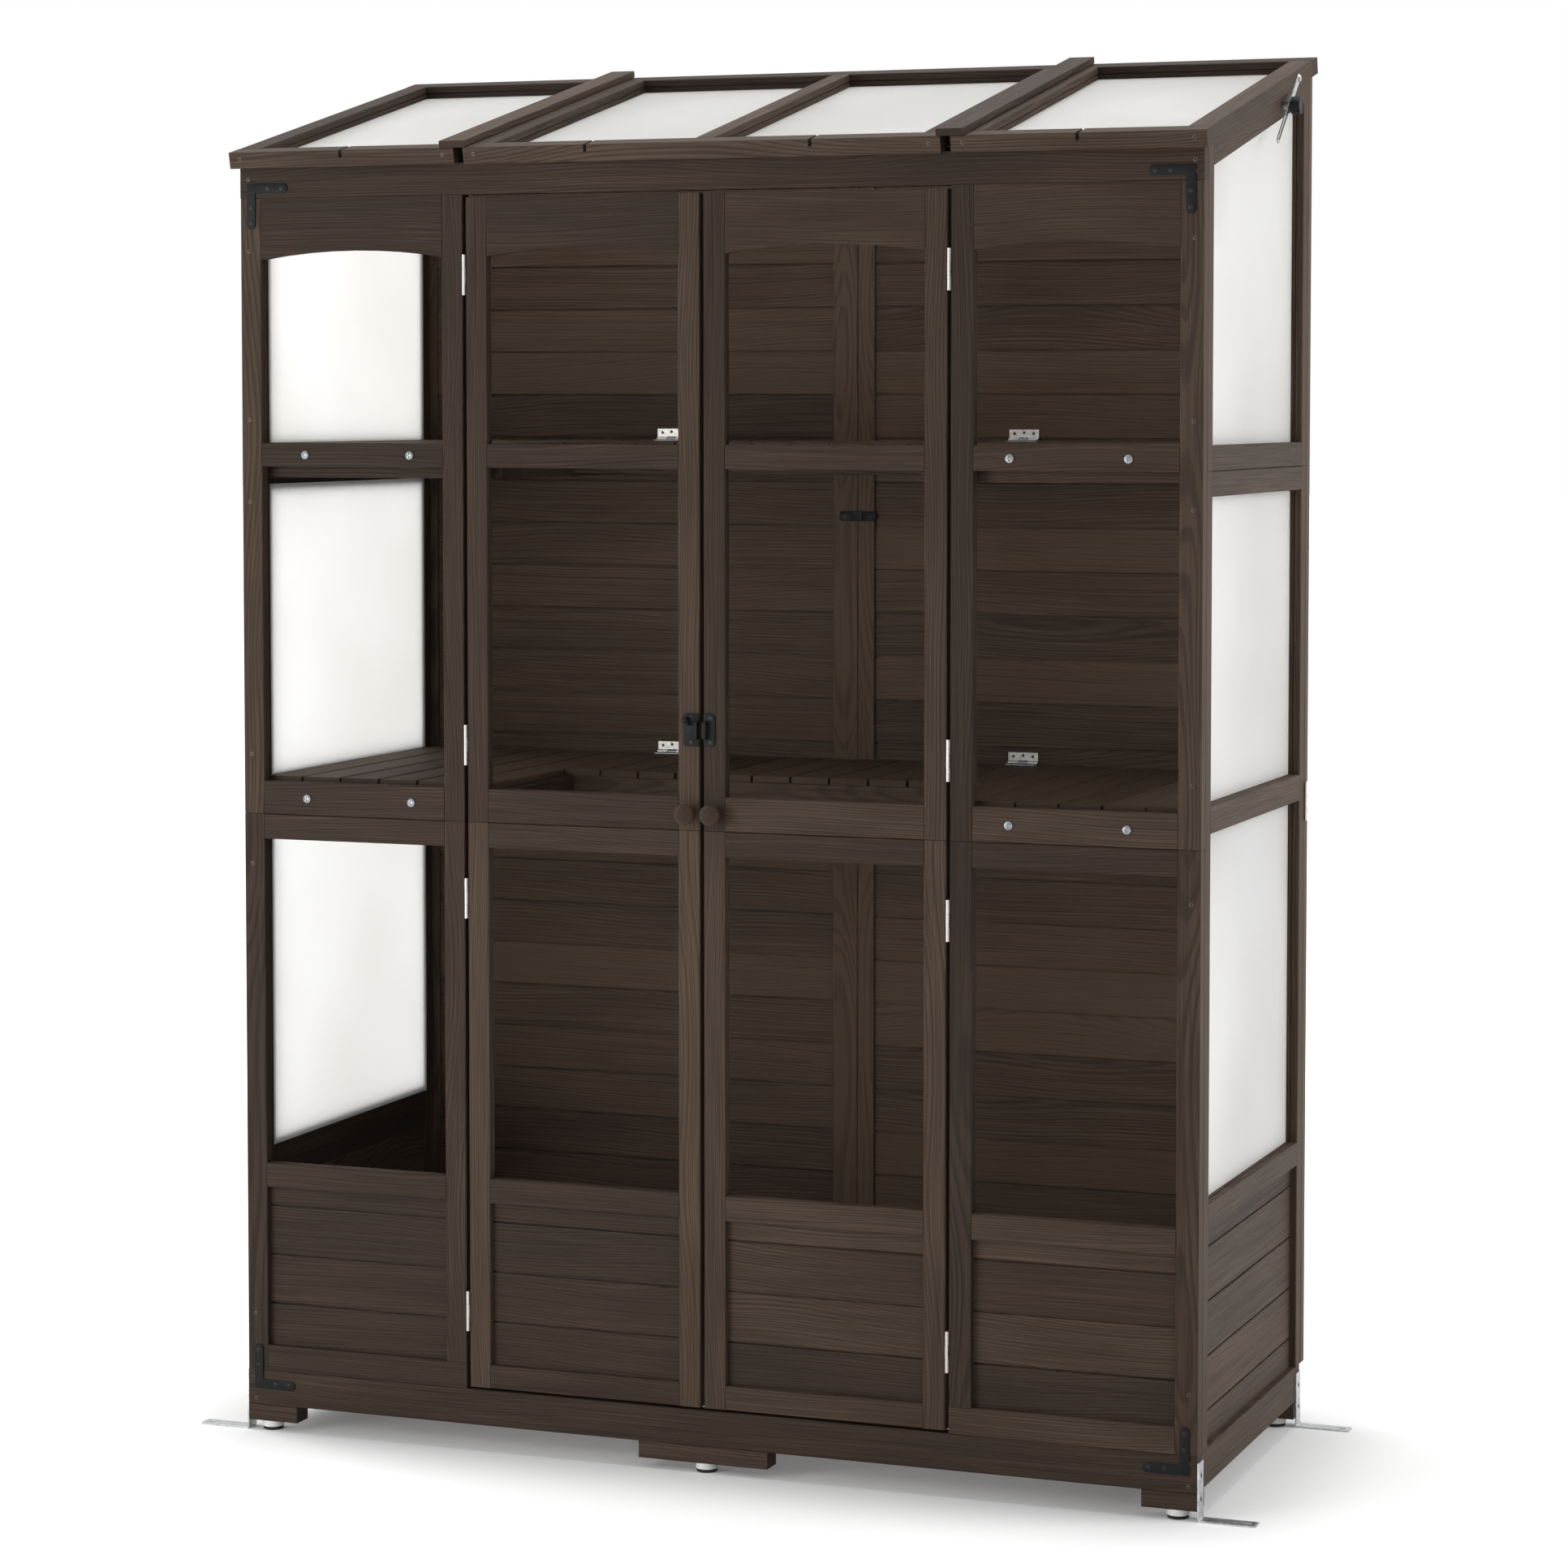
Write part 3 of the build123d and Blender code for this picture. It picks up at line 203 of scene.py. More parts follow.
    # fibres, clouds of stain and knots
    fibre = addNode(tree, "ShaderNodeTexNoise", values={"Scale": 1.0, "Detail": 5.0, "Roughness": 0.7},
                    links={"Vector": spread["fibre"]})
    cloud = addNode(tree, "ShaderNodeTexNoise", values={"Scale": 1.0, "Detail": 3.0},
                    links={"Vector": spread["cloud"]})
    knotField = addNode(tree, "ShaderNodeTexVoronoi", values={"Scale": 1.0}, links={"Vector": spread["knot"]})
    knotHeart = addNode(tree, "ShaderNodeMapRange", {"interpolation_type": "SMOOTHSTEP"},
                        {"From Min": stain["knotEdge"][0], "From Max": stain["knotEdge"][1],
                         "To Min": 1.0, "To Max": 0.0},
                        {"Value": knotField.outputs["Distance"]})
    knotDraw = addNode(tree, "ShaderNodeSeparateColor", links={0: knotField.outputs["Color"]})
    isKnot = addNode(tree, "ShaderNodeMath", {"operation": "GREATER_THAN"}, {1: stain["knotRarity"]},
                     {0: knotDraw.outputs[0]})
    knot = addNode(tree, "ShaderNodeMath", {"operation": "MULTIPLY"},
                   links={0: knotHeart.outputs[0], 1: isKnot.outputs[0]})

    # tone: fibres and clouds lift it, late wood lowers it, and each timber has its own share. The lift argument
    # shifts all of it: painted light on the timber inside, painted shade on the cross rails
    lifted = addNode(tree, "ShaderNodeMath", {"operation": "MULTIPLY_ADD"},
                     {1: stain["fibreTone"], 2: lift + stain["startTone"]}, {0: fibre.outputs["Fac"]})
    clouded = addNode(tree, "ShaderNodeMath", {"operation": "MULTIPLY_ADD"}, {1: stain["cloudTone"]},
                      {0: cloud.outputs["Fac"], 2: lifted.outputs[0]})
    faded = addNode(tree, "ShaderNodeMath", {"operation": "MULTIPLY"},
                    links={0: late.outputs[0], 1: cloud.outputs["Fac"]})
    ringed = addNode(tree, "ShaderNodeMath", {"operation": "MULTIPLY_ADD"}, {1: stain["lateTone"]},
                     {0: faded.outputs[0], 2: clouded.outputs[0]})
    tone = addNode(tree, "ShaderNodeMath", {"operation": "MULTIPLY_ADD"}, {1: stain["timberTone"]},
                   {0: draw.outputs[2], 2: ringed.outputs[0]})
    colour = addNode(tree, "ShaderNodeValToRGB", links={"Fac": tone.outputs[0]}, stops=stain["tones"])
    knotted = addNode(tree, "ShaderNodeMix", {"data_type": "RGBA"}, {7: hexToLinear(stain["knot"])},
                      {0: knot.outputs[0], 6: colour.outputs["Color"]})

    # cut ends drink more stain
    facing = addNode(tree, "ShaderNodeSeparateXYZ", links={0: coords.outputs["Normal"]})
    towards = addNode(tree, "ShaderNodeMath", {"operation": "ABSOLUTE"}, links={0: facing.outputs[order[0]]})
    atEnd = addNode(tree, "ShaderNodeMapRange",
                    values={"From Min": 0.8, "From Max": 0.95, "To Max": stain["endShare"]},
                    links={"Value": towards.outputs[0]})
    ended = addNode(tree, "ShaderNodeMix", {"data_type": "RGBA"}, {7: hexToLinear(stain["endGrain"])},
                    {0: atEnd.outputs[0], 6: knotted.outputs[2]})

    relief = addNode(tree, "ShaderNodeMath", {"operation": "MULTIPLY_ADD"}, {1: stain["lateRelief"]},
                     {0: late.outputs[0], 2: fibre.outputs["Fac"]})
    bump = addNode(tree, "ShaderNodeBump",
                   values={"Strength": stain["reliefStrength"], "Distance": stain["relief"]},
                   links={"Height": relief.outputs[0]})
    rough = addNode(tree, "ShaderNodeMapRange",
                    values={"From Min": 0.25, "From Max": 0.75, "To Min": stain["roughness"][0],
                            "To Max": stain["roughness"][1]},
                    links={"Value": fibre.outputs["Fac"]})
    surface = addNode(tree, "ShaderNodeBsdfPrincipled", values={"Specular IOR Level": stain["sheen"]},
                      links={"Base Color": ended.outputs[2], "Roughness": rough.outputs[0],
                             "Normal": bump.outputs[0]})
    addNode(tree, "ShaderNodeOutputMaterial", links={"Surface": surface.outputs[0]})
    return material


# grain axis, cell, shift, then where they apply: mirrored, tilt in degrees, height above which it is tilted
timberLay = {
    "bay_stiles": ("z", (100, 100, 905), (50, -339, 0)),
    "left_door_stiles": ("z", (180, 100, 905), (-360, -339, 0)),
    "right_door_stiles": ("z", (180, 100, 905), (0, -339, 0)),
    "bay_rails left_door_rails right_door_rails": ("x", (1000, 100, 452.4), (0, -339, 0)),
    "bay_boards left_door_boards right_door_boards": ("x", (1000, 100, 72), (0, -339, 45.1)),
    "cross_rails": ("x", (5000, 100, 400), (-2500, -345, 0)),
    "foot_blocks": ("x", (400, 300, 1000), (-200, -300, 0)),
    "side_stiles": ("z", (100, 300, 1408.3), (-55, -300, 0)),
    "side_rails": ("y", (100, 5000, 500), (-55, -2500, 0), False, -13, 1500),
    "side_boards": ("y", (100, 5000, 75), (-55, -2500, 58)),
    "back_stiles": ("z", (70, 100, 5000), (-48, 251, 0)),
    "back_rails": ("x", (2000, 100, 1000), (22, 251, 0)),
    "back_boards": ("x", (2000, 100, 66), (22, 251, 61)),
    "shelf_bearers": ("x", (1000, 100, 400), (0, -300, 0)),
    "side_shelf_slats": ("y", (61.33, 5000, 100), (326, -2500, 900), True),
    "lower_folding_slats upper_folding_slats": ("y", (59.82, 5000, 100), (-329, -2500, 900)),
    "lower_folding_battens upper_folding_battens": ("x", (5000, 100, 100), (-2500, -60, 860)),
    "middle_roof_stiles": ("y", (200, 5000, 100), (-100, -2500, 1818), False, -13),
    "middle_roof_rails left_light_rails right_light_rails": ("x", (5000, 300, 100), (-2500, 0, 1818), False, -13),
    "left_light_stiles": ("y", (160, 5000, 100), (-560, -2500, 1818), False, -13),
    "right_light_stiles": ("y", (160, 5000, 100), (400, -2500, 1818), False, -13),
}
# the timber inside is lightened, painted light standing in for the light let in through the glass and the glass's
# faint veil; the long front rails are darkened, painted shade; the left door's stiles are a little lighter
lightAndToneLift = {
    "back_boards": 0.27, "back_rails": 0.25, "back_stiles": 0.25, "side_shelf_slats": 0.36,
    "lower_folding_slats": 0.36, "upper_folding_slats": 0.36, "left_door_stiles": 0.08, "cross_rails": -0.2,
}
firOf = {nodeName: stainedFir("fir_" + nodeName, *lay, lift=lightAndToneLift.get(nodeName, 0.0))
         for names, lay in timberLay.items() for nodeName in names.split()}
for nodeName, wood in firOf.items():
    setMaterial(nodes[nodeName], wood)
print("timber stained")

# Float glass, 4 mm, clear: it lets nearly all light through and shows a faint sheen at a slant
glass = {"tint": "#fefefe", "sheen": "#ffffff", "smear": 1000 / 7 * mm, "roughness": (0.10, 0.22),
         "steepness": 5.0, "share": 0.9}


def clearGlass(name):
    material, tree = startMaterial(name)
    place = addNode(tree, "ShaderNodeTexCoord").outputs["Object"]
    smear = addNode(tree, "ShaderNodeTexNoise", values={"Scale": 1 / glass["smear"], "Detail": 4.0},
                    links={"Vector": place})
    rough = addNode(tree, "ShaderNodeMapRange",
                    values={"To Min": glass["roughness"][0], "To Max": glass["roughness"][1]},
                    links={"Value": smear.outputs["Fac"]})
    clear = addNode(tree, "ShaderNodeBsdfTransparent", values={"Color": hexToLinear(glass["tint"])})
    shine = addNode(tree, "ShaderNodeBsdfGlossy", values={"Color": hexToLinear(glass["sheen"])},
                    links={"Roughness": rough.outputs[0]})
    slant = addNode(tree, "ShaderNodeLayerWeight", values={"Blend": 0.5})
    steep = addNode(tree, "ShaderNodeMath", {"operation": "POWER"}, {1: glass["steepness"]},
                    {0: slant.outputs["Facing"]})
    share = addNode(tree, "ShaderNodeMath", {"operation": "MULTIPLY"}, {1: glass["share"]}, {0: steep.outputs[0]})
    mixed = addNode(tree, "ShaderNodeMixShader",
                    links={0: share.outputs[0], 1: clear.outputs[0], 2: shine.outputs[0]})
    addNode(tree, "ShaderNodeOutputMaterial", links={"Surface": mixed.outputs[0]})
    return material


# Opal sheet of polycarbonate: extruded, milky, it spreads the daylight and hides what is behind
opal = {"tones": [(0.3, "#f3f2f0"), (0.7, "#f9f9f8")], "haze": 1000 / 3 * mm, "roughness": 0.4, "sheen": 0.3,
        "through": 0.65}


def opalSheet(name):
    material, tree = startMaterial(name)
    place = addNode(tree, "ShaderNodeTexCoord").outputs["Object"]
    haze = addNode(tree, "ShaderNodeTexNoise", values={"Scale": 1 / opal["haze"], "Detail": 2.0},
                   links={"Vector": place})
    colour = addNode(tree, "ShaderNodeValToRGB", links={"Fac": haze.outputs["Fac"]}, stops=opal["tones"])
    through = addNode(tree, "ShaderNodeBsdfTranslucent", links={"Color": colour.outputs[0]})
    face = addNode(tree, "ShaderNodeBsdfPrincipled",
                   values={"Roughness": opal["roughness"], "Specular IOR Level": opal["sheen"]},
                   links={"Base Color": colour.outputs[0]})
    mixed = addNode(tree, "ShaderNodeMixShader", values={0: opal["through"]},
                    links={1: face.outputs[0], 2: through.outputs[0]})
    addNode(tree, "ShaderNodeOutputMaterial", links={"Surface": mixed.outputs[0]})
    return material


# Metals and plastics: two tones with a spangle or a moulded grain in tone, sheen and relief.
# Grain finer than a millimetre would not show, so it is drawn coarser.
speckle = {"depth": 0.3 * mm, "sheen": 0.08}


def fineFinish(name, darkCode, lightCode, roughness, grain, metallic=0.0, relief=0.1, specular=0.5):
    material, tree = startMaterial(name)
    place = addNode(tree, "ShaderNodeTexCoord").outputs["Object"]
    speck = addNode(tree, "ShaderNodeTexNoise", values={"Scale": 1 / grain, "Detail": 3.0}, links={"Vector": place})
    colour = addNode(tree, "ShaderNodeValToRGB", links={"Fac": speck.outputs["Fac"]},
                     stops=[(0.3, darkCode), (0.7, lightCode)])
    rough = addNode(tree, "ShaderNodeMapRange",
                    values={"To Min": roughness - speckle["sheen"], "To Max": roughness + speckle["sheen"]},
                    links={"Value": speck.outputs["Fac"]})
    bump = addNode(tree, "ShaderNodeBump", values={"Strength": relief, "Distance": speckle["depth"]},
                   links={"Height": speck.outputs["Fac"]})
    surface = addNode(tree, "ShaderNodeBsdfPrincipled", values={"Metallic": metallic, "Specular IOR Level": specular},
                      links={"Base Color": colour.outputs[0], "Roughness": rough.outputs[0],
                             "Normal": bump.outputs[0]})
    addNode(tree, "ShaderNodeOutputMaterial", links={"Surface": surface.outputs[0]})
    return material


paneGlass = clearGlass("floatGlass")
opalPane = opalSheet("opalPolycarbonate")
# powder coat on steel: a dull black film with a slight orange peel
blackSteel = fineFinish("powderCoatedSteel", "#101111", "#191b1b", roughness=0.55, grain=1.2 * mm,
                        relief=0.15, specular=0.14)
# moulded ABS: black, with a soft gleam along the ribs
blackPlastic = fineFinish("blackAbs", "#111212", "#1a1b1b", roughness=0.5, grain=1.5 * mm,
                          relief=0.2, specular=0.35)
# moulded polyamide: off-white, smooth and a little waxy
whitePlastic = fineFinish("whitePolyamide", "#d9d9d6", "#e8e8e5", roughness=0.4, grain=2 * mm)
# hot-dip galvanised strip: pale grey with a broad soft spangle
galvanised = fineFinish("galvanisedSteel", "#9c9ea0", "#c6c8c9", roughness=0.36, grain=6 * mm,
                        metallic=0.9)
# zinc plate on stamped hinges: bright, smooth and slightly warm
zincSteel = fineFinish("zincPlatedSteel", "#a3a19d", "#cfccc6", roughness=0.32, grain=2.5 * mm,
                       metallic=0.85)
# zinc on pan heads and the shelves' leaves: bluish grey, and darker than the plain plate, a painted shade that stands
# in for the dim surroundings these small metal parts reflect
shadedZinc = fineFinish("bluishZincPaintedShade", "#73777a", "#92969a", roughness=0.36, grain=2.5 * mm,
                      metallic=0.85)
# black oxide on small screws: nearly black, with a dim gleam on the dome
blackScrew = fineFinish("blackOxideSteel", "#181a1a", "#2b2e2e", roughness=0.42, grain=1.0 * mm,
                        metallic=0.4, specular=0.3)
# wood screws stained along with the timber: a dull brown ring round a dark recess
dullSteel = fineFinish("brownedSteel", "#3e372f", "#5a5045", roughness=0.45, grain=2.5 * mm,
                       metallic=0.6, specular=0.3)

finishOf = {
    paneGlass: ("bay_panes", "left_door_panes", "right_door_panes"),
    opalPane: ("side_panes", "middle_roof_panes", "left_light_pane", "right_light_pane"),
    blackSteel: ("joint_plates", "left_door_plates", "right_door_plates", "latch_case", "latch_bolt", "latch_keeper"),
    blackPlastic: ("left_stay_knob", "right_stay_knob"),
    whitePlastic: ("foot_glides",),
    galvanised: ("ground_anchors", "left_stay", "right_stay"),
    zincSteel: ("fixed_leaves", "left_door_leaves", "right_door_leaves", "left_light_fittings",
                "right_light_fittings", "left_stay_stud", "right_stay_stud"),
    shadedZinc: ("lower_folding_leaves", "upper_folding_leaves", "shelf_screws"),
}
for finish, names in finishOf.items():
    for nodeName in names:
        setMaterial(nodes[nodeName], finish)
knobFir = {side: stainedFir("fir_" + side + "_knob", "y", (100, 5000, 100), (shiftX, -2500, 878.85))
           for side, shiftX in (("left", -69), ("right", -31))}
for side, wood in knobFir.items():
    setMaterial(nodes[side + "_door_knob"], wood)
print("panes and fittings finished")


# Modelling by hand: start a primitive, pick faces or edges by place and normal, shape, cut, copy, settle
def choose(*pieces):
    bpy.ops.object.select_all(action="DESELECT")
    for piece in pieces:
        piece.select_set(True)
    bpy.context.view_layer.objects.active = pieces[0]


def started(name):
    bpy.ops.object.transform_apply(location=True, rotation=True, scale=True)
    bpy.context.object.name = name
    return bpy.context.object


def startBlock(name, low, high):
    bpy.ops.object.select_all(action="DESELECT")
    bpy.ops.mesh.primitive_cube_add(size=1, location=[(a + b) / 2 for a, b in zip(low, high)],
                                    scale=[b - a for a, b in zip(low, high)])
    return started(name)


def startRod(name, radius, low, high, sides=28):
    bpy.ops.object.select_all(action="DESELECT")
    bpy.ops.mesh.primitive_cylinder_add(vertices=sides, radius=radius, depth=high - low,
                                        location=(0, 0, (low + high) / 2))
    return started(name)


def pick(piece, kind, test):
    if piece.mode != "EDIT":
        choose(piece)
        bpy.ops.object.mode_set(mode="EDIT")
    bpy.ops.mesh.select_mode(type=kind)
    bpy.ops.mesh.select_all(action="DESELECT")
    shape = bmesh.from_edit_mesh(piece.data)
    shape.normal_update()
    if kind == "FACE":
        for face in shape.faces:
            face.select_set(bool(test(face.calc_center_median(), face.normal)))
    else:
        for edge in shape.edges:
            first, second = (corner.co for corner in edge.verts)
            edge.select_set(bool(test((first + second) / 2, (second - first).normalized())))
    bmesh.update_edit_mesh(piece.data)


def pull(amount):
    bpy.ops.mesh.extrude_region_move(TRANSFORM_OT_translate={"value": amount})


def insetMove(thickness, amount):
    bpy.ops.mesh.inset(thickness=thickness)
    bpy.ops.transform.translate(value=amount)


def roundEdges(piece, offset, segments, test):
    pick(piece, "EDGE", test)
    bpy.ops.mesh.bevel(offset=offset, segments=segments, affect="EDGES")


def leave():
    bpy.ops.mesh.select_all(action="SELECT")
    bpy.ops.mesh.normals_make_consistent(inside=False)
    bpy.ops.object.mode_set(mode="OBJECT")


def finishModifier(piece, modifier):
    choose(piece)
    bpy.ops.object.modifier_apply(modifier=modifier.name)


def cut(piece, tool):
    opening = piece.modifiers.new("opening", "BOOLEAN")
    opening.operation = "DIFFERENCE"
    opening.solver = "EXACT"
    opening.object = tool
    finishModifier(piece, opening)
    bpy.data.objects.remove(tool)


def ease(piece, width, segments=2):
    rounding = piece.modifiers.new("rounding", "BEVEL")
    rounding.width = width
    rounding.segments = segments
    rounding.limit_method = "ANGLE"
    rounding.angle_limit = math.radians(50)
    finishModifier(piece, rounding)


def joined(name, pieces):
    choose(*pieces)
    if len(pieces) > 1:
        bpy.ops.object.join()
    pieces[0].name = name
    return pieces[0]


def copied(name, model, places):
    twins = []
    for place in places:
        twin = bpy.data.objects.new(name, model.data.copy())
        scene.collection.objects.link(twin)
        twin.data.transform(place)
        if place.determinant() < 0:
            twin.data.flip_normals()
        twins.append(twin)
    return joined(name, twins)


def settle(piece, body, material, slotName, *replaced):
    choose(piece)
    bpy.ops.object.shade_smooth_by_angle(angle=math.radians(35))
    setMaterial(piece, material)
    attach(piece, body)
    if replaced:
        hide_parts(*replaced)


def drop(*models):
    for model in models:
        bpy.data.objects.remove(model)


square = 0.9  # a normal or an edge past this share lies along the axis
across = 0.1  # and under this share across it
touch = 0.1 * mm  # two places closer than this are the same
move = Matrix.Translation
toFront = Matrix.Rotation(math.radians(90), 4, "X")  # a head that looks up then looks forward
toRight = Matrix.Rotation(math.radians(90), 4, "Y")
toLeft = Matrix.Rotation(math.radians(-90), 4, "Y")
flipX = Matrix.Scale(-1, 4, (1, 0, 0))
flipZ = Matrix.Scale(-1, 4, (0, 0, 1))

# A screw head with a cross recess, on the ground plane, looking up: shares of its radius and of its crown
dome = {"sunk": 0.6 * mm, "rim": 0.22, "brow": 0.34, "firstRise": 0.65, "crossReach": 0.55}


def crossHead(name, screw):
    radius = screw["radius"]
    head = startRod(name, radius, -dome["sunk"], screw["height"])
    pick(head, "FACE", lambda centre, normal: normal.z > square)
    insetMove(radius * dome["rim"], (0, 0, screw["crown"] * dome["firstRise"]))
    insetMove(radius * dome["brow"], (0, 0, screw["crown"] * (1 - dome["firstRise"])))
    leave()
    arm = radius * dome["crossReach"]
    top = screw["height"] + screw["crown"]
    half = screw["cross"] / 2
    recess = startBlock("recess", (-half, -half, top - screw["depth"]), (half, half, top + mm))
    for x, y in ((1, 0), (-1, 0), (0, 1), (0, -1)):
        pick(recess, "FACE", lambda centre, normal: normal.x * x + normal.y * y > square
             and abs(centre.x * y + centre.y * x) < half)
        pull((x * (arm - half), y * (arm - half), 0))
    leave()
    cut(head, recess)
    return head


# Tongues that close the joints of the back boards, each seated in the boards above and below
boardTongue = {"y": (299.4 * mm, 302.4 * mm), "reach": (-1.6 * mm, 1.2 * mm), "first": 193 * mm, "pitch": 66 * mm,
               "joints": 27, "chamfer": 0.5 * mm, "spans": ((-680 * mm, -18.5 * mm), (49 * mm, 680 * mm))}
tongueJoints = [move((0, 0, boardTongue["first"] + count * boardTongue["pitch"]))
                for count in range(boardTongue["joints"])]
tongueRuns = []
for low, high in boardTongue["spans"]:
    tongue = startBlock("tongueModel", (low, boardTongue["y"][0], boardTongue["reach"][0]),
                        (high, boardTongue["y"][1], boardTongue["reach"][1]))
    roundEdges(tongue, boardTongue["chamfer"], 1, lambda centre, way: abs(way.x) > square)
    leave()
    tongueRuns.append(copied("boardTongues", tongue, tongueJoints))
    drop(tongue)
settle(joined("boardTongues", tongueRuns), "cabinet", firOf["back_boards"], "stained_wood")
print("board tongues made")

# Pan heads that hold the shelf bearers
panHead = {"radius": 6.0 * mm, "height": 2.0 * mm, "crown": 1.2 * mm, "cross": 1.9 * mm, "depth": 1.8 * mm,
           "columns": (447 * mm, 613 * mm), "rows": (928.85 * mm, 1424.6 * mm)}
panModel = crossHead("panModel", panHead)
panPlaces = [move((way * x, frontFace, z)) @ toFront
             for way in ways.values() for x in panHead["columns"] for z in panHead["rows"]]
settle(copied("shelfScrews", panModel, panPlaces), "cabinet", shadedZinc, "zinc_steel", "shelf_screws")
print("shelf screws made")

# Countersunk wood screws in the outer stiles, the header, the base and the roof rails; rows and lightX in mm
woodScrew = {"radius": 3.1 * mm, "height": 0.35 * mm, "crown": 0.25 * mm, "cross": 1.4 * mm, "depth": 0.9 * mm,
             "fromEnd": 12.5 * mm, "rows": (1820, 1805.5, 1717, 1475, 1357, 991, 832, 172, 78, 46.5),
             "roofEdge": (-306.89 * mm, 1847.87 * mm), "roofTurn": 103, "middleX": 337 * mm, "lightX": (385, 706)}
woodModel = crossHead("woodModel", woodScrew)
screwX = bodyHalf - woodScrew["fromEnd"]
toRoofEdge = Matrix.Rotation(math.radians(woodScrew["roofTurn"]), 4, "X")
woodPlaces = [move((way * screwX, frontFace, z * mm)) @ toFront for way in ways.values() for z in woodScrew["rows"]]
woodPlaces += [move((way * woodScrew["middleX"], *woodScrew["roofEdge"])) @ toRoofEdge for way in ways.values()]
settle(copied("woodScrews", woodModel, woodPlaces), "cabinet", dullSteel, "zinc_steel")
for side, way in ways.items():
    lightPlaces = [move((way * x * mm, *woodScrew["roofEdge"])) @ toRoofEdge for x in woodScrew["lightX"]]
    settle(copied(side + "LightScrews", woodModel, lightPlaces), side + "_light", dullSteel, "zinc_steel")
print("wood screws made")

# Black angle plates at the front corners
anglePlate = {"leg": 58.25 * mm, "width": 13.5 * mm, "thick": 2 * mm, "x": 697.25 * mm, "top": 1806.85 * mm,
              "bottom": 68.75 * mm, "endRound": 0.98, "easing": 0.35 * mm,
              "screws": ((-27 * mm, 0), (-49 * mm, 0), (0, -27 * mm), (0, -49 * mm))}
halfWidth = anglePlate["width"] / 2
angle = startBlock("angleModel", (-halfWidth, -anglePlate["thick"], -halfWidth), (halfWidth, 0, halfWidth))
pick(angle, "FACE", lambda centre, normal: normal.x < -square)
pull((halfWidth - anglePlate["leg"], 0, 0))
pick(angle, "FACE", lambda centre, normal: normal.z < -square and centre.x > -halfWidth)
pull((0, 0, halfWidth - anglePlate["leg"]))
roundEdges(angle, halfWidth * anglePlate["endRound"], 8,
           lambda centre, way: abs(way.y) > square and min(centre.x, centre.z) < touch - anglePlate["leg"])
leave()
ease(angle, anglePlate["easing"])
cornerPlaces = [move((anglePlate["x"], frontFace, anglePlate["top"])),
                move((anglePlate["x"], frontFace, anglePlate["bottom"])) @ flipZ]
cornerPlaces += [flipX @ place for place in cornerPlaces]
angles = copied("angles", angle, cornerPlaces)

# Flat connectors inside: one with a raised bridge over the seam of the back panels, one on each side wall
strap = {"half": 7.5 * mm, "thick": 2 * mm, "round": 4.5 * mm, "easing": 0.3 * mm,
         "backX": (-7 * mm, 51 * mm), "backY": frontFace + 580 * mm, "backZ": 1327.6 * mm, "backScrew": 20 * mm,
         "sideX": 693 * mm, "sideY": (frontFace + 44 * mm, frontFace + 91 * mm), "sideZ": 1408.3 * mm,
         "sideScrews": (frontFace + 56 * mm, frontFace + 81 * mm),
         "bridge": 9 * mm, "rise": 1.6 * mm, "taper": 0.84, "rim": 1.2 * mm, "dish": 0.5 * mm}
backFace = strap["backY"] - strap["thick"]
sideFace = strap["sideX"] - strap["thick"]
backLow, backHigh = (strap["backZ"] + way * strap["half"] for way in ways.values())
sideLow, sideHigh = (strap["sideZ"] + way * strap["half"] for way in ways.values())
seam = startBlock("seamModel", (strap["backX"][0], backFace, backLow), (strap["backX"][1], strap["backY"], backHigh))
roundEdges(seam, strap["round"], 5, lambda centre, way: abs(way.y) > square)
leave()
seamMiddle = sum(strap["backX"]) / 2
bridge = startBlock("bridgeModel", (seamMiddle - strap["bridge"], backFace - strap["rise"], backLow),
                    (seamMiddle + strap["bridge"], backFace, backHigh))
pick(bridge, "FACE", lambda centre, normal: normal.y < -square)
bpy.ops.transform.resize(value=(strap["taper"], 1, 1), center_override=(seamMiddle, 0, strap["backZ"]))
insetMove(strap["rim"], (0, strap["dish"], 0))
leave()
sidePlate = startBlock("sidePlateModel", (sideFace, strap["sideY"][0], sideLow),
                       (strap["sideX"], strap["sideY"][1], sideHigh))
roundEdges(sidePlate, strap["round"], 5, lambda centre, way: abs(way.x) > square)
leave()
sidePlates = copied("sidePlates", sidePlate, [Matrix.Identity(4), flipX])
plates = joined("jointPlates", [angles, seam, bridge, sidePlates])
ease(plates, strap["easing"])
settle(plates, "cabinet", blackSteel, "black_steel", "joint_plates")

# Their screws
plateScrew = {"radius": 3.3 * mm, "height": 0.5 * mm, "crown": 0.4 * mm, "cross": 1.1 * mm, "depth": 0.8 * mm}
plateModel = crossHead("plateModel", plateScrew)
plateFace = move((0, -anglePlate["thick"], 0)) @ toFront
platePlaces = [place @ move((x, 0, z)) @ plateFace for place in cornerPlaces for x, z in anglePlate["screws"]]
platePlaces += [move((seamMiddle + way * strap["backScrew"], backFace, strap["backZ"])) @ toFront
                for way in ways.values()]
for y in strap["sideScrews"]:
    inside = move((sideFace, y, strap["sideZ"])) @ toLeft
    platePlaces += [inside, flipX @ inside]
settle(copied("plateScrews", plateModel, platePlaces), "cabinet", blackScrew, "black_steel")

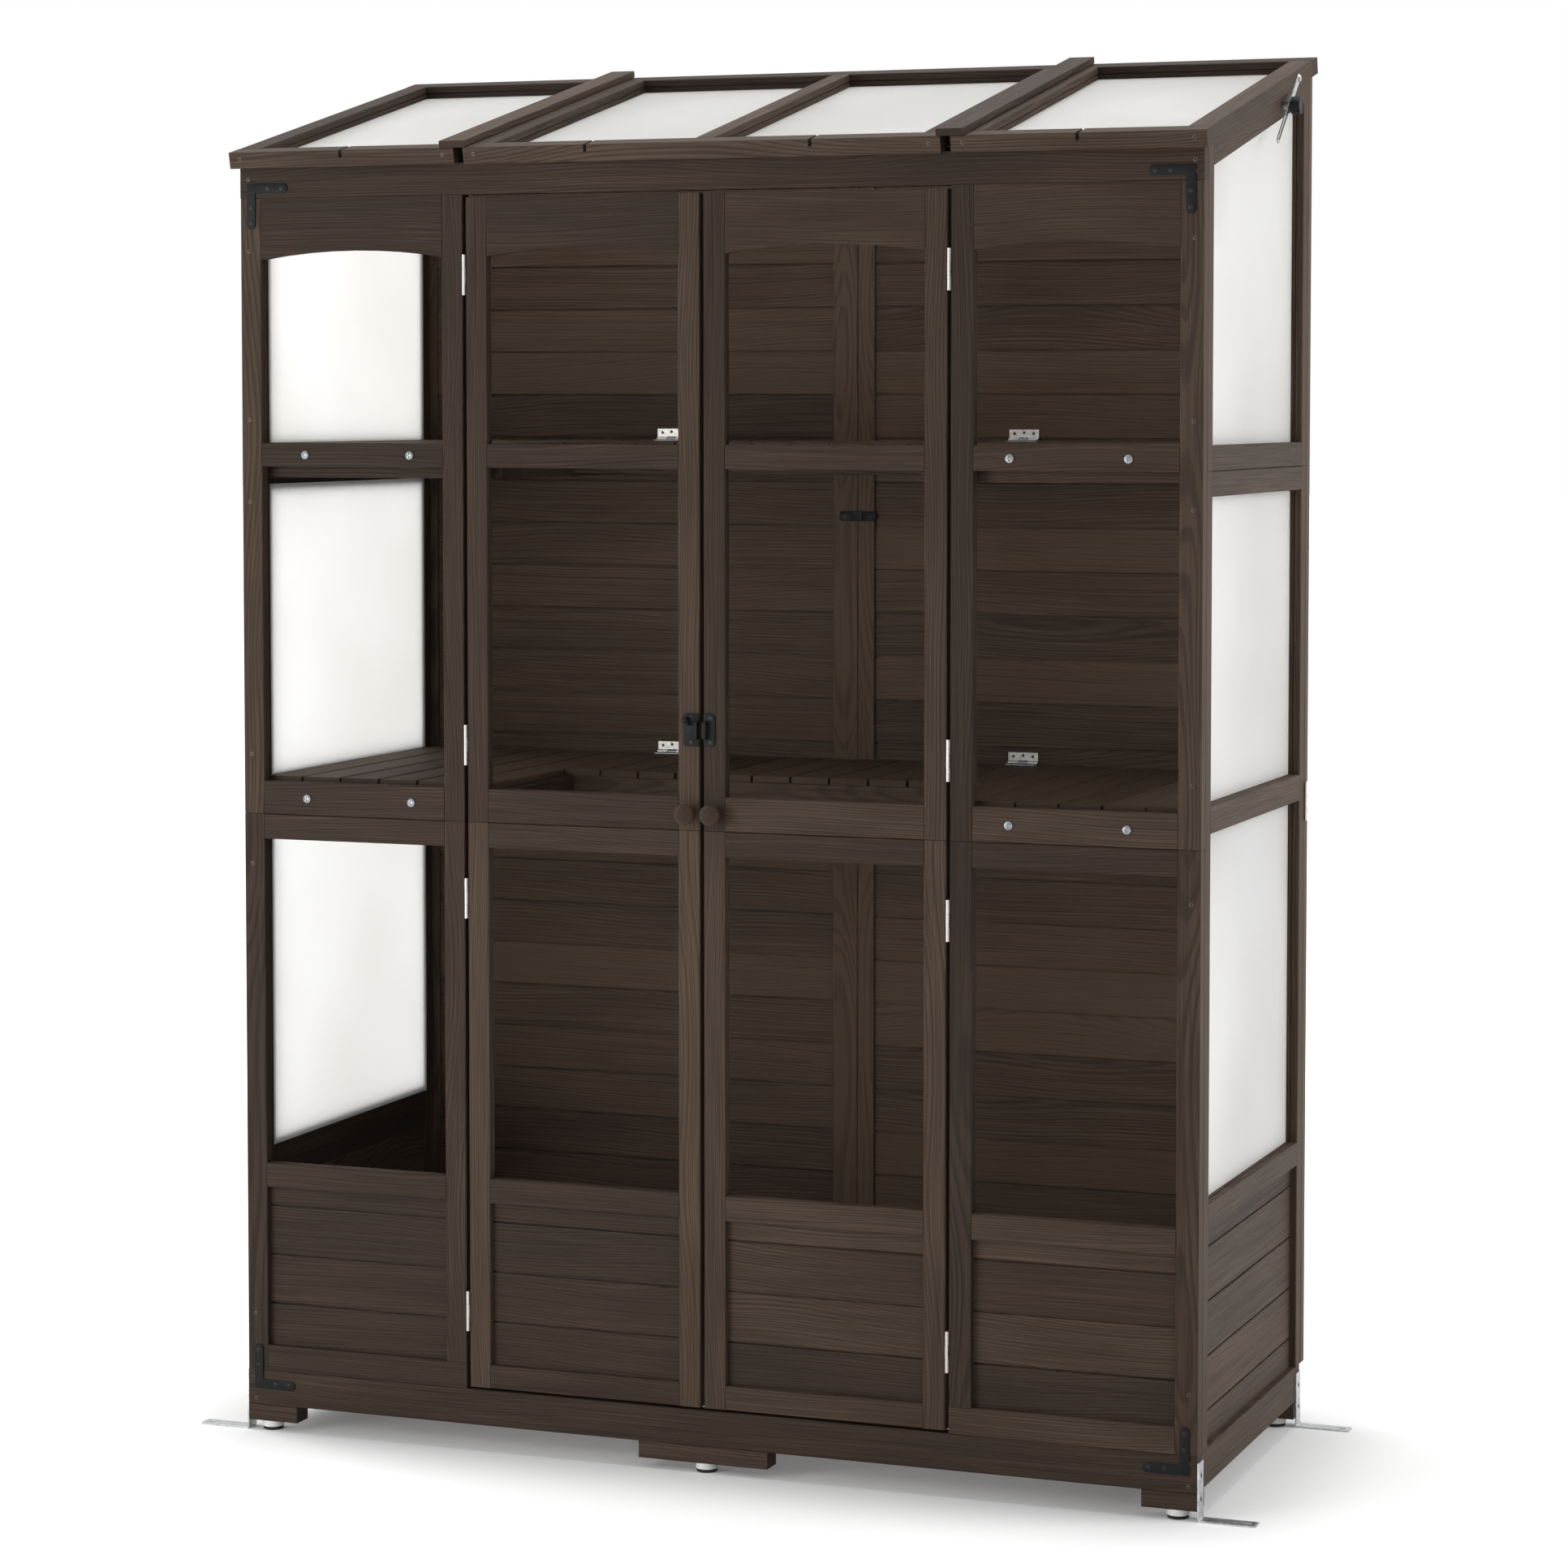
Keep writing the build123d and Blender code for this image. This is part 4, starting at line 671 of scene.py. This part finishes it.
# Small screws in the upright leaves of the shelf hinges, the middle one a little higher
leafScrew = {"radius": 2.3 * mm, "height": 0.3 * mm, "crown": 0.2 * mm, "cross": 0.9 * mm, "depth": 0.45 * mm,
             "x": 284 * mm, "y": 294.2 * mm, "rows": (970.5 * mm, 1453.5 * mm),
             "spots": ((-15 * mm, 0), (0, 1.5 * mm), (15 * mm, 0))}
leafModel = crossHead("leafModel", leafScrew)
leafPlaces = [move((way * leafScrew["x"] + aside, leafScrew["y"], z + rise)) @ toFront
              for way in ways.values() for aside, rise in leafScrew["spots"] for z in leafScrew["rows"]]
settle(copied("leafScrews", leafModel, leafPlaces), "cabinet", dullSteel, "zinc_steel")
drop(angle, sidePlate, panModel, woodModel, leafModel)
print("plates made")

# Ground anchors of bent strip: upright leg on the end of the base, floor leg with an oval hole
anchor = {"reach": 80 * mm, "thick": 2 * mm, "width": 24 * mm, "bend": 4.5 * mm, "endRound": 3 * mm,
          "holeX": 783 * mm, "holeRadius": 2.75 * mm, "slot": 3.5 * mm, "uprightHoles": (30 * mm, 62 * mm),
          "holeSlant": 40, "easing": 0.3 * mm, "rows": (frontFace, frontFace + 548 * mm)}
anchorFace = bodyHalf + anchor["thick"]
anchorLeg = anchor["reach"] - anchor["thick"]
strip = startBlock("anchorModel", (bodyHalf, 0, 0), (anchorFace, anchor["width"], anchor["thick"]))
pick(strip, "FACE", lambda centre, normal: normal.x > square)
pull((anchorLeg, 0, 0))
pick(strip, "FACE", lambda centre, normal: normal.z > square and centre.x < anchorFace)
pull((0, 0, anchorLeg))
roundEdges(strip, anchor["bend"], 6, lambda centre, way: abs(way.y) > square
           and abs(centre.x - bodyHalf) < touch and centre.z < touch)
roundEdges(strip, anchor["bend"] - anchor["thick"], 6, lambda centre, way: abs(way.y) > square
           and abs(centre.x - anchorFace) < touch and abs(centre.z - anchor["thick"]) < touch)
roundEdges(strip, anchor["endRound"], 4, lambda centre, way: abs(way.z) > square
           and centre.x > bodyHalf + anchor["reach"] - touch)
leave()
middle = anchor["width"] / 2
slant = Matrix.Rotation(math.radians(anchor["holeSlant"]), 4, "Z")
holePlaces = [move((anchor["holeX"] - anchor["slot"] / 2, middle, 0))]
holePlaces += [move((bodyHalf, middle, z)) @ toRight @ slant for z in anchor["uprightHoles"]]
for place in holePlaces:
    hole = startRod("anchorHole", anchor["holeRadius"], -mm, 2 * anchor["thick"])
    pick(hole, "FACE", lambda centre, normal: normal.x > across)
    bpy.ops.transform.translate(value=(anchor["slot"], 0, 0))
    leave()
    hole.data.transform(place)
    cut(strip, hole)
ease(strip, anchor["easing"])
anchorPlaces = [move((0, y, 0)) for y in anchor["rows"]]
anchorPlaces += [flipX @ place for place in anchorPlaces]
settle(copied("groundAnchors", strip, anchorPlaces), "cabinet", galvanised, "galvanised_steel", "ground_anchors")
drop(strip)
print("ground anchors made")

# Glides under the foot blocks: a white body, hollow below, with a black pad let into it
glide = {"radius": 16 * mm, "top": 14 * mm, "sides": 40, "x": 684 * mm, "rim": mm, "hollow": 1.5 * mm,
         "easing": 1.2 * mm, "rows": (frontFace + 17.5 * mm, frontFace + 554.5 * mm)}
pad = {"radius": 14.8 * mm, "top": 4.5 * mm, "letIn": 1.6 * mm, "rim": 1.6 * mm, "ring": 2 * mm, "dish": 0.6 * mm,
       "easing": 0.9 * mm}
glideBody = startRod("glideModel", glide["radius"], pad["top"], glide["top"], glide["sides"])
pick(glideBody, "FACE", lambda centre, normal: normal.z < -square)
insetMove(glide["rim"], (0, 0, glide["hollow"]))
leave()
ease(glideBody, glide["easing"], 3)
glidePad = startRod("padModel", pad["radius"], 0, pad["top"] + pad["letIn"], glide["sides"])
pick(glidePad, "FACE", lambda centre, normal: normal.z < -square)
bpy.ops.mesh.inset(thickness=pad["rim"])
insetMove(pad["ring"], (0, 0, pad["dish"]))
leave()
ease(glidePad, pad["easing"], 3)
glidePlaces = [move((x, y, 0)) for x in (-glide["x"], 0, glide["x"]) for y in glide["rows"]]
settle(copied("footGlides", glideBody, glidePlaces), "cabinet", whitePlastic, "white_plastic", "foot_glides")
settle(copied("glidePads", glidePad, glidePlaces), "cabinet", blackPlastic, "black_plastic")
drop(glideBody, glidePad)
print("glides made")


# A turned piece: a disc drawn up step by step, each step (mm) a height with its own radius
def turnedPiece(name, steps, sides=44):
    bpy.ops.object.select_all(action="DESELECT")
    bpy.ops.mesh.primitive_circle_add(vertices=sides, radius=steps[0][1] * mm, fill_type="NGON")
    piece = started(name)
    pick(piece, "FACE", lambda centre, normal: True)
    for (low, before), (high, radius) in zip(steps, steps[1:]):
        pull((0, 0, (high - low) * mm))
        bpy.ops.transform.resize(value=(radius / before, radius / before, 1), center_override=(0, 0, high * mm))
    leave()
    return piece


# Turned wooden knobs of the doors
doorKnob = {"x": 19 * mm, "z": 928.85 * mm,
            "steps": [(0, 9.5), (2.4, 9.5), (3.2, 9.1), (4.6, 7.9), (6.2, 7.1), (7.6, 7.0), (9, 7.7), (10.6, 9.2),
                      (12.4, 11.2), (14.4, 13.1), (16.4, 14.4), (18.4, 15), (20.4, 14.7), (22.2, 13.6), (23.8, 11.8),
                      (25.2, 9.2), (26.2, 6.2), (26.8, 3.2), (27, 0.8)]}
for side, way in ways.items():
    knob = turnedPiece(side + "DoorKnob", doorKnob["steps"])
    knob.data.transform(move((way * doorKnob["x"], frontFace, doorKnob["z"])) @ toFront)
    settle(knob, side + "_door", knobFir[side], "stained_wood", side + "_door_knob")
print("door knobs made")

# Ribbed clamp knobs of the stays: every other facet drawn out, a raised rim, a sunk cap and a collar
clampKnob = {"radius": 11.6 * mm, "low": 2.4 * mm, "height": 15.6 * mm, "ribs": 48, "rib": 0.9 * mm,
             "rim": 1.6 * mm, "rimRise": 0.4 * mm, "cap": 1.2 * mm, "collar": [(0, 8.2), (2, 8.2), (2.6, 7.8)],
             "x": 725.6 * mm, "y": 135.42 * mm, "z": 1918.17 * mm}
ribStep = 2 * math.pi / clampKnob["ribs"]
clamp = startRod("clampModel", clampKnob["radius"], clampKnob["low"], clampKnob["height"], clampKnob["ribs"])
pick(clamp, "FACE", lambda centre, normal: abs(normal.z) < across
     and round(math.atan2(centre.y, centre.x) / ribStep - 0.5) % 2)
bpy.ops.mesh.extrude_faces_move(TRANSFORM_OT_shrink_fatten={"value": clampKnob["rib"]})
pick(clamp, "FACE", lambda centre, normal: normal.z > square and math.hypot(centre.x, centre.y) < mm)
insetMove(clampKnob["rim"], (0, 0, clampKnob["rimRise"]))
insetMove(clampKnob["cap"], (0, 0, -clampKnob["cap"]))
leave()
clamp = joined("clampModel", [clamp, turnedPiece("collarModel", clampKnob["collar"])])
clampPlace = move((clampKnob["x"], clampKnob["y"], clampKnob["z"])) @ toRight
for side, place in (("left", flipX @ clampPlace), ("right", clampPlace)):
    knobName = side + "_stay_knob"
    settle(copied(side + "StayKnob", clamp, [place]), knobName, blackPlastic, "black_plastic", knobName)
drop(clamp)
print("clamp knobs made")

# Sliding latch: case and bolt on the left door, keeper on the right one
latch = {
    "z": 1045.6 * mm, "edge": 3.5 * mm, "plate": 2 * mm, "half": 23 * mm, "easing": 0.4 * mm,
    "guide": 8 * mm, "guideHalf": 13 * mm, "guideRound": 3.5 * mm, "guideEasing": 0.35 * mm, "seat": 0.2 * mm,
    "room": 4.6 * mm, "roomHalf": 7.3 * mm, "screwZ": 17 * mm,
    "case": {"width": 23 * mm, "guide": 4 * mm, "corner": 4 * mm, "screwX": -14.5 * mm},
    "keeper": {"width": 17 * mm, "guide": 6 * mm, "corner": 6 * mm, "screwX": 15 * mm},
}
slide = {
    "length": 20 * mm, "back": 2.3 * mm, "thick": 4 * mm, "half": 7 * mm, "noseRound": 2.5 * mm, "easing": 0.4 * mm,
    "armBack": 3.2 * mm, "armFront": 6.5 * mm, "armHalf": 3 * mm, "armTop": 18.5 * mm, "armRound": 2.85 * mm,
    "buttonX": 21.1 * mm, "buttonZ": 14 * mm, "buttonSides": 28,
    "button": [(0, 2), (4.4, 2), (5, 4.2), (6.6, 4.4), (8, 3.9), (8.8, 2.4), (9, 0.6)],
}


# plate, guide and bolt opening on the right of x = 0
def latchHalf(name, size):
    edge = latch["edge"]
    face = -latch["plate"]
    base = startBlock("latchPlate", (edge, face, -latch["half"]), (edge + size["width"], 0, latch["half"]))
    roundEdges(base, size["corner"], 6,
               lambda centre, way: abs(way.y) > square and centre.x > edge + size["width"] / 2)
    leave()
    ease(base, latch["easing"])
    guide = startBlock("latchGuide", (edge, face - latch["guide"], -latch["guideHalf"]),
                       (edge + size["guide"], face + latch["seat"], latch["guideHalf"]))
    roundEdges(guide, latch["guideRound"], 5,
               lambda centre, way: abs(way.x) > square and centre.y < -latch["guide"])
    leave()
    cut(guide, startBlock("boltRoom", (edge - mm, face - latch["room"], -latch["roomHalf"]),
                          (edge + size["guide"] + mm, mm, latch["roomHalf"])))
    ease(guide, latch["guideEasing"])
    return joined(name, [base, guide])


latchPlace = move((0, frontFace, latch["z"]))
caseModel = latchHalf("caseModel", latch["case"])
settle(copied("latchCase", caseModel, [latchPlace @ flipX]), "left_door", blackSteel, "black_steel", "latch_case")
keeperModel = latchHalf("keeperModel", latch["keeper"])
settle(copied("latchKeeper", keeperModel, [latchPlace]), "right_door", blackSteel, "black_steel", "latch_keeper")

# The bolt: a bar with a round nose, an arm up to the button
boltFace = -slide["back"] - slide["thick"]
bolt = startBlock("latchBar", (-latch["edge"] - slide["length"], boltFace, -slide["half"]),
                  (-latch["edge"], -slide["back"], slide["half"]))
roundEdges(bolt, slide["noseRound"], 4,
           lambda centre, way: abs(way.y) > square and centre.x > -latch["edge"] - mm)
leave()
ease(bolt, slide["easing"])
arm = startBlock("latchArm", (-slide["buttonX"] - slide["armHalf"], -slide["armFront"],
                              slide["half"] - mm),
                 (-slide["buttonX"] + slide["armHalf"], -slide["armBack"], slide["armTop"]))
roundEdges(arm, slide["armRound"], 5, lambda centre, way: abs(way.y) > square and centre.z > slide["half"])
leave()
ease(arm, slide["easing"])
button = turnedPiece("latchButton", slide["button"], slide["buttonSides"])
button.data.transform(move((-slide["buttonX"], boltFace, slide["buttonZ"])) @ toFront)
bolt = joined("latchBolt", [bolt, arm, button])
bolt.data.transform(latchPlace)
settle(bolt, "latch_bolt", blackSteel, "black_steel", "latch_bolt")
for half, body in (("case", "left_door"), ("keeper", "right_door")):
    spots = [move((latch[half]["screwX"], frontFace - latch["plate"], latch["z"] + way * latch["screwZ"])) @ toFront
             for way in ways.values()]
    settle(copied(half + "Screws", plateModel, spots), body, blackScrew, "black_steel")
drop(caseModel, keeperModel, plateModel)
print("latch made")


# 1 where the lens, a reflection or a pane looks straight at a surface, 0 where it only lights the object
def whereSeen(tree):
    ray = addNode(tree, "ShaderNodeLightPath")
    direct = addNode(tree, "ShaderNodeMath", {"operation": "MAXIMUM"},
                     links={0: ray.outputs["Is Camera Ray"], 1: ray.outputs["Is Glossy Ray"]})
    return addNode(tree, "ShaderNodeMath", {"operation": "MAXIMUM"},
                   links={0: direct.outputs[0], 1: ray.outputs["Is Transmission Ray"]}).outputs[0]


# Pale floor of a white studio: the lens sees it lighter than it lights the timber.
# The lift fades out under the base, to keep the shadow, and grows to full white further off.
ground = {"size": 120, "tones": [(0.3, "#eeeeee"), (0.7, "#f0f0f0")], "patch": 2.0, "base": (0.70, 0.27, 0.0),
          "shade": 0.22, "white": 3.3, "under": 0.07, "near": 0.28}
bpy.ops.object.select_all(action="DESELECT")
bpy.ops.mesh.primitive_plane_add(size=ground["size"], location=(0, 0, 0))
floor = started("studioFloor")
floorFinish, tree = startMaterial("paleFloor")
floorPlace = addNode(tree, "ShaderNodeTexCoord").outputs["Object"]
floorTone = addNode(tree, "ShaderNodeTexNoise", values={"Scale": 1 / ground["patch"]},
                    links={"Vector": floorPlace})
floorColour = addNode(tree, "ShaderNodeValToRGB", links={"Fac": floorTone.outputs["Fac"]}, stops=ground["tones"])
floorSurface = addNode(tree, "ShaderNodeBsdfDiffuse", links={"Color": floorColour.outputs[0]})
fold = addNode(tree, "ShaderNodeVectorMath", {"operation": "ABSOLUTE"}, links={0: floorPlace})
past = addNode(tree, "ShaderNodeVectorMath", {"operation": "SUBTRACT"}, {1: ground["base"]}, {0: fold.outputs[0]})
clear = addNode(tree, "ShaderNodeVectorMath", {"operation": "MAXIMUM"}, {1: (0, 0, 0)}, {0: past.outputs[0]})
distance = addNode(tree, "ShaderNodeVectorMath", {"operation": "LENGTH"}, links={0: clear.outputs[0]})
closeBy = addNode(tree, "ShaderNodeMapRange", {"interpolation_type": "SMOOTHSTEP"},
                  {"From Min": 0.0, "From Max": ground["shade"],
                   "To Min": ground["under"], "To Max": ground["near"]},
                  {"Value": distance.outputs["Value"]})
farAway = addNode(tree, "ShaderNodeMapRange", {"interpolation_type": "SMOOTHSTEP"},
                  {"From Min": ground["shade"], "From Max": ground["white"],
                   "To Min": 0.0, "To Max": 1.0 - ground["near"]},
                  {"Value": distance.outputs["Value"]})
level = addNode(tree, "ShaderNodeMath", {"operation": "ADD"}, links={0: closeBy.outputs[0], 1: farAway.outputs[0]})
lift = addNode(tree, "ShaderNodeMath", {"operation": "MULTIPLY"}, links={0: level.outputs[0], 1: whereSeen(tree)})
glow = addNode(tree, "ShaderNodeEmission", links={"Strength": lift.outputs[0]})
lifted = addNode(tree, "ShaderNodeAddShader", links={0: floorSurface.outputs[0], 1: glow.outputs[0]})
addNode(tree, "ShaderNodeOutputMaterial", links={"Surface": lifted.outputs[0]})
setMaterial(floor, floorFinish)

# White sky: full white where it is seen, softer where it lights
studioSky = {"lights": 0.48, "seen": 1.0}
world = bpy.data.worlds.new("studioSky")
world.use_nodes = True
tree = world.node_tree
tree.nodes.clear()
strength = addNode(tree, "ShaderNodeMapRange", values={"To Min": studioSky["lights"], "To Max": studioSky["seen"]},
                   links={"Value": whereSeen(tree)})
sky = addNode(tree, "ShaderNodeBackground", values={"Color": hexToLinear("#ffffff")},
              links={"Strength": strength.outputs[0]})
addNode(tree, "ShaderNodeOutputWorld", links={"Surface": sky.outputs[0]})
scene.world = world

# Soft lamps: one in front on the left, one beside each wall, one above
lamps = {
    "keyLeft": {"place": (-2.2, -3.2, 1.2), "aim": (-0.3, 0, 0.95), "size": (2.0, 2.0), "watts": 64},
    "sideRight": {"place": (4.2, 0.6, 2.4), "aim": (0.7, 0, 1.0), "size": (2.0, 2.6), "watts": 91},
    "sideLeft": {"place": (-4.2, 0.6, 2.4), "aim": (-0.7, 0, 1.0), "size": (2.0, 2.6), "watts": 112},
    "overhead": {"place": (0, 0.3, 5.0), "aim": (0, 0, 1.8), "size": (2.4, 2.4), "watts": 85},
}
for lampName, lamp in lamps.items():
    data = bpy.data.lights.new(lampName, "AREA")
    data.shape = "RECTANGLE"
    data.size, data.size_y = lamp["size"]
    data.energy = lamp["watts"]
    hung = bpy.data.objects.new(lampName, data)
    scene.collection.objects.link(hung)
    hung.location = lamp["place"]
    direction = [end - start for start, end in zip(lamp["place"], lamp["aim"])]
    pitch = math.acos(-direction[2] / math.dist(lamp["place"], lamp["aim"]))
    yaw = math.atan2(direction[1], direction[0]) - math.pi / 2
    hung.rotation_euler = (pitch, 0, yaw)

photoView = {"place": (2.1336, -5.5902, 1.5007), "down": 3.126, "round": 20.777, "lens": 94.72, "sensor": 36,
             "shift": -0.10}
eye = bpy.data.cameras.new("photoCamera")
eye.sensor_width = photoView["sensor"]
eye.lens = photoView["lens"]
eye.shift_y = photoView["shift"]
camera = bpy.data.objects.new("photoCamera", eye)
scene.collection.objects.link(camera)
camera.location = photoView["place"]
camera.rotation_euler = (math.radians(90 - photoView["down"]), 0, math.radians(photoView["round"]))
scene.camera = camera
scene.view_settings.view_transform = "Standard"
print("studio set")
